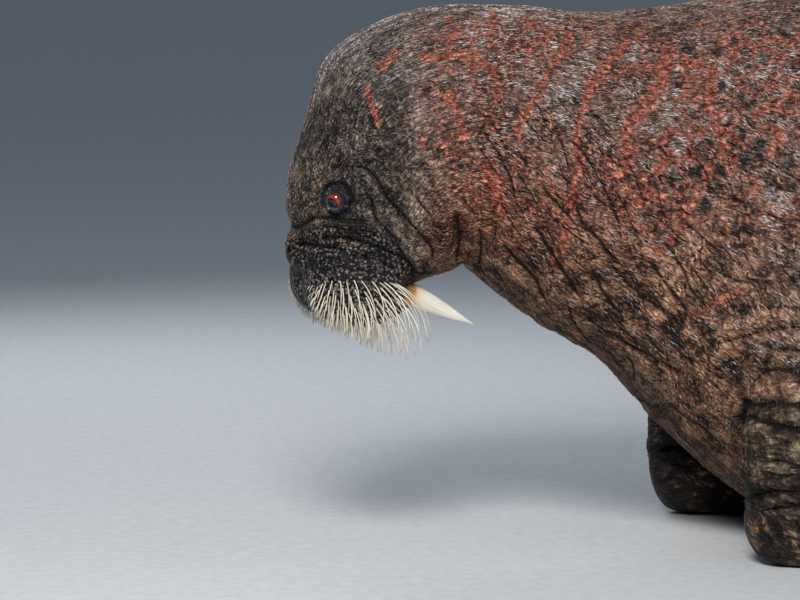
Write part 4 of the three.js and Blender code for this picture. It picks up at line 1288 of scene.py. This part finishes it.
def hide_colour(tree):
    """Colour of the hide from Object coordinates and the marks, the same for skin and coat: olive mottling,
    dark grey on the face, tan on the brow, grizzled grey above, paler on upward-facing parts as painted top
    light, red-brown on the chest, near-black bare skin, flecks of light and dark along the hair, reddened
    skin with scars and dark spots, then painted shade: a near-black line along each crack and crease, and
    darker hollows and underside. Gives the colour, a 10 mm grain, the painted shade line along each crack and
    crease,
    and where no pale hair shows: on that line, on scars and on spots."""
    place = add(tree, "TexCoord", output=OBJECT)
    mark = {name: add(tree, "Attribute", attribute_name=name, output=NUMBER) for name in TUFT_MARKS}
    mottle = add(tree, "TexNoise", {"Vector": place, "Scale": 17.0, "Detail": 4.0, "Roughness": 0.62})
    grain = add(tree, "TexNoise", {"Vector": place, "Scale": 95.0, "Detail": 3.0, "Roughness": 0.6})
    sway = add(tree, "CombineXYZ", {"X": mottle, "Z": mottle})
    sway = add(tree, "VectorMath", {0: sway, "Scale": 0.05}, operation="SCALE")
    bent = add(tree, "VectorMath", {0: place, 1: sway}, operation="ADD")
    along_lines = ((CRACK_SLOPE, STRAND_CELL), (HAIR_SLOPE, FLECK_CELL))
    strand, fleck = (
        add(tree, "Mapping", {"Vector": bent, "Rotation": (0, turn, 0), "Scale": size}, vector_type="TEXTURE")
        for turn, size in along_lines
    )
    strand = add(tree, "TexNoise", {"Vector": strand, "Scale": 1.0, "Detail": 3.0, "Roughness": 0.65})
    fleck = add(tree, "TexNoise", {"Vector": fleck, "Scale": 1.0, "Detail": 2.0})
    both = add(tree, "Math", {0: mottle, 1: strand}, operation="ADD")
    both = add(tree, "Math", {0: both, 1: 0.5}, operation="MULTIPLY")
    fine = add(tree, "Math", {0: grain, 1: fleck}, operation="ADD")
    fine = add(tree, "Math", {0: fine, 1: 0.5}, operation="MULTIPLY")
    flecked = add(tree, "Math", {0: both, 1: fine}, operation="ADD")
    flecked = add(tree, "Math", {0: flecked, 1: 0.5}, operation="MULTIPLY")
    # Grizzled cool grey, paler on upward-facing parts as painted top light
    grey_and_toplit = add(tree, "Math", {0: mark["pale"], 1: 0.6}, operation="MULTIPLY")
    colour = add(tree, "ValToRGB", {0: both}, stops=((0.4, "#181615"), (0.48, "#51463d"), (0.6, "#a09080")))
    tints = (
        (mark["face"], flecked, ((0.44, "#070709"), (0.495, "#272425"), (0.54, "#4e4741"), (0.6, "#83776d"))),
        (mark["ochre"], fine, ((0.41, "#14110f"), (0.48, "#40352b"), (0.55, "#7e6852"), (0.63, "#ad967d"))),
        (grey_and_toplit, flecked, ((0.43, "#0d0c10"), (0.49, "#332e36"), (0.55, "#605964"), (0.61, "#8c8590"))),
        (mark["rust"], both, ((0.4, "#1e1411"), (0.47, "#664637"), (0.54, "#a07255"), (0.62, "#cb9c79"))),
        (mark["arm"], both, ((0.42, "#090807"), (0.5, "#302a23"), (0.57, "#534a3e"), (0.64, "#7f7361"))),
        (mark["bare"], both, ((0.4, "#08090c"), (0.5, "#1f2329"), (0.6, "#44464e"))),
        (mark["blade"], both, ((0.42, "#0d0a0a"), (0.5, "#2e2420"), (0.56, "#503e33"), (0.62, "#a07c60"))),
        (mark["stain"], fine, ((0.4, "#1b0d0b"), (0.48, "#4c261c"), (0.55, "#844736"), (0.64, "#b87d67"))),
    )
    for share, value, stops in tints:
        tint = add(tree, "ValToRGB", {0: value}, stops=stops)
        share = add(tree, "Math", {0: share, 1: 0.9}, operation="MULTIPLY")
        colour = add(tree, "Mix", {0: share, "A": colour, "B": tint}, data_type="RGBA")
    usual = {"From Min": 0.35, "From Max": 0.65}
    bright = add(tree, "MapRange", {"Value": fleck, "To Min": 0.4, "To Max": 1.6} | usual)
    colour = add(tree, "VectorMath", {0: colour, "Scale": bright}, operation="SCALE")
    spot = add(tree, "TexVoronoi", {"Vector": bent, "Scale": NET_SCALE})
    spot = add(tree, "MapRange", {"Value": spot, "From Min": 0.26, "From Max": 0.42} | FALLING)
    spot = add(tree, "Math", {0: spot, 1: mark["spot"]}, operation="MULTIPLY")
    colour = add(tree, "Mix", {0: spot, "A": colour, "B": linear("#101219")}, data_type="RGBA")
    net = add(tree, "TexVoronoi", {"Vector": bent, "Scale": NET_SCALE}, feature="DISTANCE_TO_EDGE")
    beside_edge = {"From Min": 0.02, "From Max": 0.16}
    net = add(tree, "MapRange", {"Value": net, "To Min": 0.7, "To Max": 0.0} | beside_edge)
    net = add(tree, "Math", {0: net, 1: mark["net"]}, operation="MULTIPLY")
    net = add(tree, "Math", {0: net, 1: mark["scar"]}, operation="MAXIMUM")
    ragged = add(tree, "MapRange", {"Value": fine, "To Min": -0.4, "To Max": 0.38} | usual)
    scarred = add(tree, "Math", {0: net, 1: ragged}, operation="ADD")
    scarred = add(tree, "MapRange", {"Value": scarred, "From Min": 0.26, "From Max": 0.7})
    stops = ((0.37, "#2e110f"), (0.45, "#6d3226"), (0.53, "#9a4f3d"), (0.64, "#c98c76"))
    red = add(tree, "ValToRGB", {0: fine}, stops=stops)
    colour = add(tree, "Mix", {0: scarred, "A": colour, "B": red}, data_type="RGBA")
    # Painted shade: a near-black line along each crack and crease, joined with the painted shade of hollows
    # and the underside
    near = add(tree, "Math", {0: mark["signed"]}, operation="ABSOLUTE")
    near = add(tree, "MapRange", {"Value": near, "From Min": 1.3, "From Max": 3.6} | FALLING)
    close = add(tree, "MapRange", {"Value": mark["apart"], "From Min": 5.5, "From Max": 9.0} | FALLING)
    fold = add(tree, "Math", {0: near, 1: close}, operation="MULTIPLY")
    shade = add(tree, "Math", {0: fold, 1: mark["painted_shade"]}, operation="MAXIMUM")
    shade = add(tree, "Math", {0: shade, 1: 0.95}, operation="MULTIPLY")
    colour = add(tree, "Mix", {0: shade, "A": colour, "B": linear("#080706")}, data_type="RGBA")
    # The coat keeps the hide's colour on the painted shade line, on scars and on spots
    bared = add(tree, "Math", {0: spot, 1: 0.75}, operation="MULTIPLY")
    bared = add(tree, "Math", {0: bared, 1: scarred}, operation="MAXIMUM")
    bared = add(tree, "Math", {0: bared, 1: fold}, operation="MAXIMUM")
    return colour, grain, fold, bared


def skin_material():
    """Wrinkled living hide: rough, with a fine crackle along the lie of the hair, pebbled and a little
    moist where it is bare on the muzzle, and drawn into cross wrinkles on the flippers, its colour darkened
    in the low parts of the bump as painted shade. Crackle is 9 by 24 mm, pebbles 6 mm, hair streaks 2 by 22
    mm, wrinkles beside the creases of the face 7 mm apart, and on the flippers 11 mm."""
    made, tree, shader = new_material("walrus_hide", Specular_IOR_Level=0.14)
    place = add(tree, "TexCoord", output=OBJECT)
    colour, grain, fold, _ = hide_colour(tree)
    names = ("muzzle", "blade", "limb", "bare", "wet_and_highlight", "pale", "face", "ochre", "apart")
    mark = {name: add(tree, "Attribute", attribute_name=name, output=NUMBER) for name in names}
    lie = add(tree, "UVMap", uv_map="Lie")
    sized = {
        name: add(tree, "VectorMath", {0: lie, 1: (1000 / across, 1000 / along, 1.0)}, operation="MULTIPLY")
        for name, across, along in (("streak", 2.4, 22), ("crackle", 9, 24), ("wrinkle", 45, 11))
    }
    streak = add(tree, "TexNoise", {"Vector": sized["streak"], "Scale": 1.0, "Detail": 2.0})
    crackle = add(tree, "TexVoronoi", {"Vector": sized["crackle"], "Scale": 1.0}, feature="DISTANCE_TO_EDGE")
    crackle = add(tree, "MapRange", {"Value": crackle, "From Min": 0.0, "From Max": 0.22})
    leather = add(tree, "TexVoronoi", {"Vector": sized["wrinkle"], "Scale": 1.0}, feature="DISTANCE_TO_EDGE")
    leather = add(tree, "MapRange", {"Value": leather, "From Min": 0.0, "From Max": 0.3})
    wobble = add(tree, "MapRange", {"Value": grain, "To Min": -5.0, "To Max": 5.0})
    ripple = add(tree, "Math", {0: mark["apart"], 1: wobble}, operation="ADD")
    ripple = add(tree, "Math", {0: ripple, 1: 2 * np.pi / 7.0}, operation="MULTIPLY")
    ripple = add(tree, "Math", {0: ripple}, operation="COSINE")
    ripple = add(tree, "MapRange", {"Value": ripple, "From Min": -1.0, "From Max": -0.3})
    beside = add(tree, "MapRange", {"Value": mark["apart"], "From Min": 22.0, "From Max": 38.0} | FALLING)
    beside = add(tree, "Math", {0: beside, 1: mark["face"]}, operation="MULTIPLY")
    # Pebbles of the muzzle: their colour falls to near black at their edges as painted shade in the grooves
    # between them, and the same edges make the bump
    edge = add(tree, "TexVoronoi", {"Vector": place, "Scale": PEBBLE_SCALE})
    edge = add(tree, "MapRange", {"Value": edge, "From Min": 0.34, "From Max": 0.74} | FALLING)
    cell = add(tree, "TexVoronoi", {"Vector": place, "Scale": PEBBLE_SCALE}, output=CELL_COLOUR)
    cell = add(tree, "MapRange", {"Value": cell, "To Min": 0.48, "To Max": 0.98})
    cell = add(tree, "Math", {0: cell, 1: edge}, operation="MULTIPLY")
    stops = ((0.1, "#030303"), (0.36, "#2a2729"), (0.62, "#5b5251"), (0.95, "#93867f"))
    pebble = add(tree, "ValToRGB", {0: cell}, stops=stops)
    stops = ((0.12, "#0c0908"), (0.4, "#4a392c"), (0.7, "#80664d"), (0.95, "#b0957a"))
    tan = add(tree, "ValToRGB", {0: cell}, stops=stops)
    pebble = add(tree, "Mix", {0: mark["ochre"], "A": pebble, "B": tan}, data_type="RGBA")
    share = add(tree, "Math", {0: mark["muzzle"], 1: 0.8}, operation="MULTIPLY")
    unfolded = add(tree, "Math", {0: 1.0, 1: fold}, operation="SUBTRACT")
    share = add(tree, "Math", {0: share, 1: unfolded}, operation="MULTIPLY")
    colour = add(tree, "Mix", {0: share, "A": colour, "B": pebble}, data_type="RGBA")
    height = add(tree, "Mix", {0: mark["muzzle"], "A": crackle, "B": edge}, data_type="FLOAT")
    folded = add(tree, "Math", {0: mark["blade"], 1: mark["limb"]}, operation="MAXIMUM")
    height = add(tree, "Mix", {0: folded, "A": height, "B": leather}, data_type="FLOAT")
    drawn = add(tree, "Math", {0: height, 1: ripple}, operation="MULTIPLY")
    height = add(tree, "Mix", {0: beside, "A": height, "B": drawn}, data_type="FLOAT")
    hairs = add(tree, "MapRange", {"Value": streak, "From Min": 0.5, "From Max": 0.66})
    hairs = add(tree, "Math", {0: hairs, 1: mark["pale"]}, operation="MULTIPLY")
    hairs = add(tree, "Math", {0: hairs, 1: 0.6}, operation="MULTIPLY")
    colour = add(tree, "Mix", {0: hairs, "A": colour, "B": linear("#9a8f80")}, data_type="RGBA")
    # Painted shade: the colour is darkened where the bump is low, in the crackle, between the pebbles, in the
    # flipper wrinkles and the ripples beside the creases
    gap = add(tree, "MapRange", {"Value": height, "To Min": 0.35, "To Max": 1.0})
    colour = add(tree, "VectorMath", {0: colour, "Scale": gap}, operation="SCALE")
    # Painted highlight: a lighter blue-grey on the moist rims of the lids
    colour = add(tree, "Mix", {0: mark["wet_and_highlight"], "A": colour, "B": linear("#39424d")}, data_type="RGBA")
    tree.links.new(colour, shader.inputs["Base Color"])
    height = add(tree, "Math", {0: height, 1: streak}, operation="ADD")
    height = add(tree, "Math", {0: height, 1: grain}, operation="ADD")
    height = add(tree, "Math", {0: height, 1: fold}, operation="SUBTRACT")
    tree.links.new(add(tree, "Bump", {"Height": height, "Distance": 0.0024}), shader.inputs["Normal"])
    rough = add(tree, "Mix", {0: mark["bare"], "A": 0.78, "B": 0.5}, data_type="FLOAT")
    rough = add(tree, "Mix", {0: mark["wet_and_highlight"], "A": rough, "B": 0.12}, data_type="FLOAT")
    tree.links.new(rough, shader.inputs["Roughness"])
    return made


def coat_material():
    """Short stiff hair, dark brown to grey-white: each tuft's tone sets how pale it is and how far it
    leaves the hide's own colour, and it is palest where the coat is grizzled and on upward-facing parts,
    there as painted top light."""
    made, tree, shader = new_material("walrus_hair", Roughness=0.5, Specular_IOR_Level=0.25)
    colour, _, _, bared = hide_colour(tree)
    tone = add(tree, "Attribute", attribute_name="tone", output=NUMBER)
    pale = add(tree, "Attribute", attribute_name="pale", output=NUMBER)
    # Tufts are palest where pale is high: on grizzled hair, and as painted top light and sky sheen on
    # upward-facing parts
    bright = add(tree, "MapRange", {"Value": pale, "To Min": 0.54, "To Max": 0.86})
    bright = add(tree, "Math", {0: bright, 1: tone}, operation="MULTIPLY")
    stops = ((0.08, "#171518"), (0.32, "#6e5a4c"), (0.58, "#a69992"), (0.85, "#cfcdd0"))
    hair = add(tree, "ValToRGB", {0: bright}, stops=stops)
    partly = {"To Min": 0.15, "To Max": 0.85}
    share = add(tree, "MapRange", {"Value": tone, "From Min": 0.1, "From Max": 0.7} | partly)
    covered = add(tree, "Math", {0: 1.0, 1: bared}, operation="SUBTRACT")
    share = add(tree, "Math", {0: share, 1: covered}, operation="MULTIPLY")
    mixed = add(tree, "Mix", {0: share, "A": colour, "B": hair}, data_type="RGBA")
    tree.links.new(mixed, shader.inputs["Base Color"])
    return made


def eye_material():
    """A wet eyeball: black pupil, a dark iris lightened to grey-violet as a painted reflection of the sky,
    and red flesh round it with fine vessels.
    """
    made, tree, shader = new_material("wet_eye", Roughness=0.06, IOR=1.38)
    turn = add(tree, "Attribute", attribute_name="turn", output=NUMBER)
    place = add(tree, "TexCoord", output=OBJECT)
    veins = add(tree, "TexNoise", {"Vector": place, "Scale": 420.0, "Detail": 4.0, "Distortion": 1.2})
    wobble = add(tree, "Math", {0: veins, 1: 0.06}, operation="MULTIPLY")
    turn = add(tree, "Math", {0: turn, 1: wobble}, operation="ADD")
    # Pupil, then the dark iris lightening outwards to grey-violet as a painted reflection of the sky, a dark
    # ring, then red flesh
    stops = (
        (0.27, "#050407"), (0.34, "#1a1417"), (0.47, "#3b3036"), (0.53, "#0f0708"),
        (0.6, "#2c0d0b"), (0.67, "#6a2820"), (0.88, "#7c372d"), (1.0, "#45191a"),
    )
    colour = add(tree, "ValToRGB", {0: turn}, stops=stops)
    vessels = {"From Min": 0.45, "From Max": 0.6}
    red = add(tree, "MapRange", {"Value": veins, "To Min": 1.15, "To Max": 0.7} | vessels)
    colour = add(tree, "VectorMath", {0: colour, "Scale": red}, operation="SCALE")
    tree.links.new(colour, shader.inputs["Base Color"])
    return made


def ivory_material():
    """Polished tusk ivory: stained orange brown at the gum, cream to white beyond, with fine lengthwise
    cracks that are about 1.6 mm apart and 60 mm long."""
    made, tree, shader = new_material("tusk_ivory", IOR=1.54, Subsurface_Weight=0.12, Subsurface_Scale=0.01)
    along = add(tree, "Attribute", attribute_name="along", output=NUMBER)
    place = add(tree, "TexCoord", output=OBJECT)
    cloud = add(tree, "TexNoise", {"Vector": place, "Scale": 60.0, "Detail": 3.0})
    shift = add(tree, "MapRange", {"Value": cloud, "To Min": -0.07, "To Max": 0.07})
    along = add(tree, "Math", {0: along, 1: shift}, operation="ADD")
    stops = (
        (0.32, "#45301f"), (0.38, "#96703f"), (0.43, "#b8a384"),
        (0.5, "#c4bdb2"), (0.8, "#cbc6bf"), (1.0, "#bfb7aa"),
    )
    colour = add(tree, "ValToRGB", {0: along}, stops=stops)
    lie = add(tree, "UVMap", uv_map="Lie")
    lie = add(tree, "VectorMath", {0: lie, 1: (1 / 0.0016, 1 / 0.06, 1.0)}, operation="MULTIPLY")
    crack = add(tree, "TexNoise", {"Vector": lie, "Scale": 1.0, "Detail": 3.0})
    crack = add(tree, "MapRange", {"Value": crack, "From Min": 0.3, "From Max": 0.45})
    tint = add(tree, "MapRange", {"Value": crack, "To Min": 0.8, "To Max": 1.0})
    colour = add(tree, "VectorMath", {0: colour, "Scale": tint}, operation="SCALE")
    tree.links.new(colour, shader.inputs["Base Color"])
    tree.links.new(add(tree, "Bump", {"Height": crack, "Distance": 0.0004}), shader.inputs["Normal"])
    rough = add(tree, "MapRange", {"Value": cloud, "To Min": 0.2, "To Max": 0.4})
    tree.links.new(rough, shader.inputs["Roughness"])
    return made


def keratin_material(name, dark, light):
    """Smooth horn, dark at the sunk root, light from there on and straw-coloured at the tip, each bristle
    of its own tone."""
    made, tree, shader = new_material(name, Roughness=0.38)
    along = add(tree, "Attribute", attribute_name="along", output=NUMBER)
    tone = add(tree, "Attribute", attribute_name="tone", output=NUMBER)
    stops = ((0.05, dark), (0.12, light), (0.9, light), (1.0, "#a89468"))
    colour = add(tree, "ValToRGB", {0: along}, stops=stops)
    bright = add(tree, "MapRange", {"Value": tone, "To Min": 0.7, "To Max": 1.1})
    colour = add(tree, "VectorMath", {0: colour, "Scale": bright}, operation="SCALE")
    tree.links.new(colour, shader.inputs["Base Color"])
    return made


def nail_material():
    """Worn nail: matt dark horn, mottled paler every 3 mm or so."""
    made, tree, shader = new_material("worn_nail", Roughness=0.5)
    place = add(tree, "TexCoord", output=OBJECT)
    grain = add(tree, "TexNoise", {"Vector": place, "Scale": 300.0, "Detail": 2.0})
    colour = add(tree, "ValToRGB", {0: grain}, stops=((0.35, "#231e1b"), (0.6, "#5c5045")))
    tree.links.new(colour, shader.inputs["Base Color"])
    return made


def floor_material():
    """Plain pale matt floor with a faint grain."""
    made, tree, shader = new_material("studio_floor", Roughness=0.9)
    place = add(tree, "TexCoord", output=OBJECT)
    grain = add(tree, "TexNoise", {"Vector": place, "Scale": 40.0, "Detail": 4.0})
    colour = add(tree, "ValToRGB", {0: grain}, stops=((0.3, "#adb0b3"), (0.7, "#b9bbbd")))
    tree.links.new(colour, shader.inputs["Base Color"])
    return made


def finish_piece(piece, material, slot, *nodes):
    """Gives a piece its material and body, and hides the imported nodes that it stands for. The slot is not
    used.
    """
    piece.data.materials.clear()
    piece.data.materials.append(material)
    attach(piece, "root")
    if nodes:
        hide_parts(*nodes)


# Camera, light and floor

def set_camera():
    """The camera stands where the photo was taken from, turned and raised about the target."""
    flat = np.cos(CAMERA_ELEVATION)
    back = (np.sin(CAMERA_AZIMUTH) * flat, -np.cos(CAMERA_AZIMUTH) * flat, np.sin(CAMERA_ELEVATION))
    back = Vector(back)
    camera = bpy.data.objects.new("camera", bpy.data.cameras.new("camera"))
    camera.data.lens = CAMERA_LENS
    camera.location = Vector(CAMERA_TARGET) + back * CAMERA_DISTANCE
    camera.rotation_euler = (-back).to_track_quat("-Z", "Y").to_euler()
    bpy.context.scene.collection.objects.link(camera)
    bpy.context.scene.camera = camera


def area_light(name, place, target, size, power, colour):
    """A soft square light that faces the target."""
    light = bpy.data.objects.new(name, bpy.data.lights.new(name, "AREA"))
    light.data.size = size
    light.data.energy = power
    light.data.color = colour
    light.location = place
    light.rotation_euler = (Vector(target) - Vector(place)).to_track_quat("-Z", "Y").to_euler()
    bpy.context.scene.collection.objects.link(light)


def studio():
    """A wide floor that curves up far away, so that no edge shows, with three soft lights and an even sky."""
    reach, rise = np.array(FLOOR_PROFILE).T[:, :, None] * 1000
    rise = rise - FLOOR_GAP
    turn = 2 * np.pi * np.arange(FLOOR_COLUMNS) / FLOOR_COLUMNS
    rings = np.stack([reach * np.cos(turn), reach * np.sin(turn), rise + 0 * turn], -1)
    ids = np.arange(rings[..., 0].size).reshape(rings.shape[:2])
    nxt = np.roll(ids, -1, axis=1)
    quads = np.stack([ids[:-1], ids[1:], nxt[1:], nxt[:-1]], -1).reshape(-1, 4)
    corners = np.concatenate([quads.ravel(), ids[0]])
    floor = mesh_object("floor", rings.reshape(-1, 3), corners, np.array([4] * len(quads) + [FLOOR_COLUMNS]))
    floor.data.materials.append(floor_material())
    floor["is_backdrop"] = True
    for name, light in LIGHTS.items():
        area_light(name, *light)
    world = bpy.data.worlds.new("studio")
    world.use_nodes = True
    world.node_tree.nodes["Background"].inputs["Color"].default_value = SKY_COLOUR
    world.node_tree.nodes["Background"].inputs["Strength"].default_value = SKY_STRENGTH
    bpy.context.scene.world = world
    bpy.context.scene.view_settings.view_transform = "Standard"


def build_animal():
    """Every piece of the animal, each in place in its mesh."""
    skin, surface, folds = build_skin()
    marks = markings(surface, folds)
    add_values(skin, "POINT", **marks)
    skin.data.uv_layers["Chart"].name = "OFBake"
    flesh = [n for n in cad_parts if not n.startswith(("tusk", "eye"))]
    finish_piece(skin, skin_material(), "hide", *flesh)
    hair = coat_material()
    for piece in coat_pieces(surface, marks):
        finish_piece(piece, hair, "hide")
    rings, turn = eye_rings()
    eye, ivory = eye_material(), ivory_material()
    for side, piece in both_sides("eyeball", rings):
        point_field(piece, "turn", rings, turn)
        finish_piece(piece, eye, "eyeball", f"eye_{side}")
    rings = tusk_rings()
    share = (1 - np.cos(np.pi * np.linspace(0, 1, len(rings)))) / 2
    for side, piece in both_sides("ivory_tusk", rings):
        point_field(piece, "along", rings, share[:, None])
        finish_piece(piece, ivory, "ivory", f"tusk_{side}")
    horn = keratin_material("whisker_horn", "#2a1f18", "#c6beab")
    for side, sign in (("left", 1), ("right", -1)):
        piece = whisker_piece(side, sign, SEED + sign)
        finish_piece(piece, horn, "whisker_hide", f"whisker_pad_{side}")
    nail = nail_material()
    for piece in nail_pieces():
        finish_piece(piece, nail, "flipper_hide")


set_camera()
studio()
build_animal()
boxes = {"cad": CAD_BOX, "visual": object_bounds()}
{name: [list(corner) for corner in box] for name, box in boxes.items()}
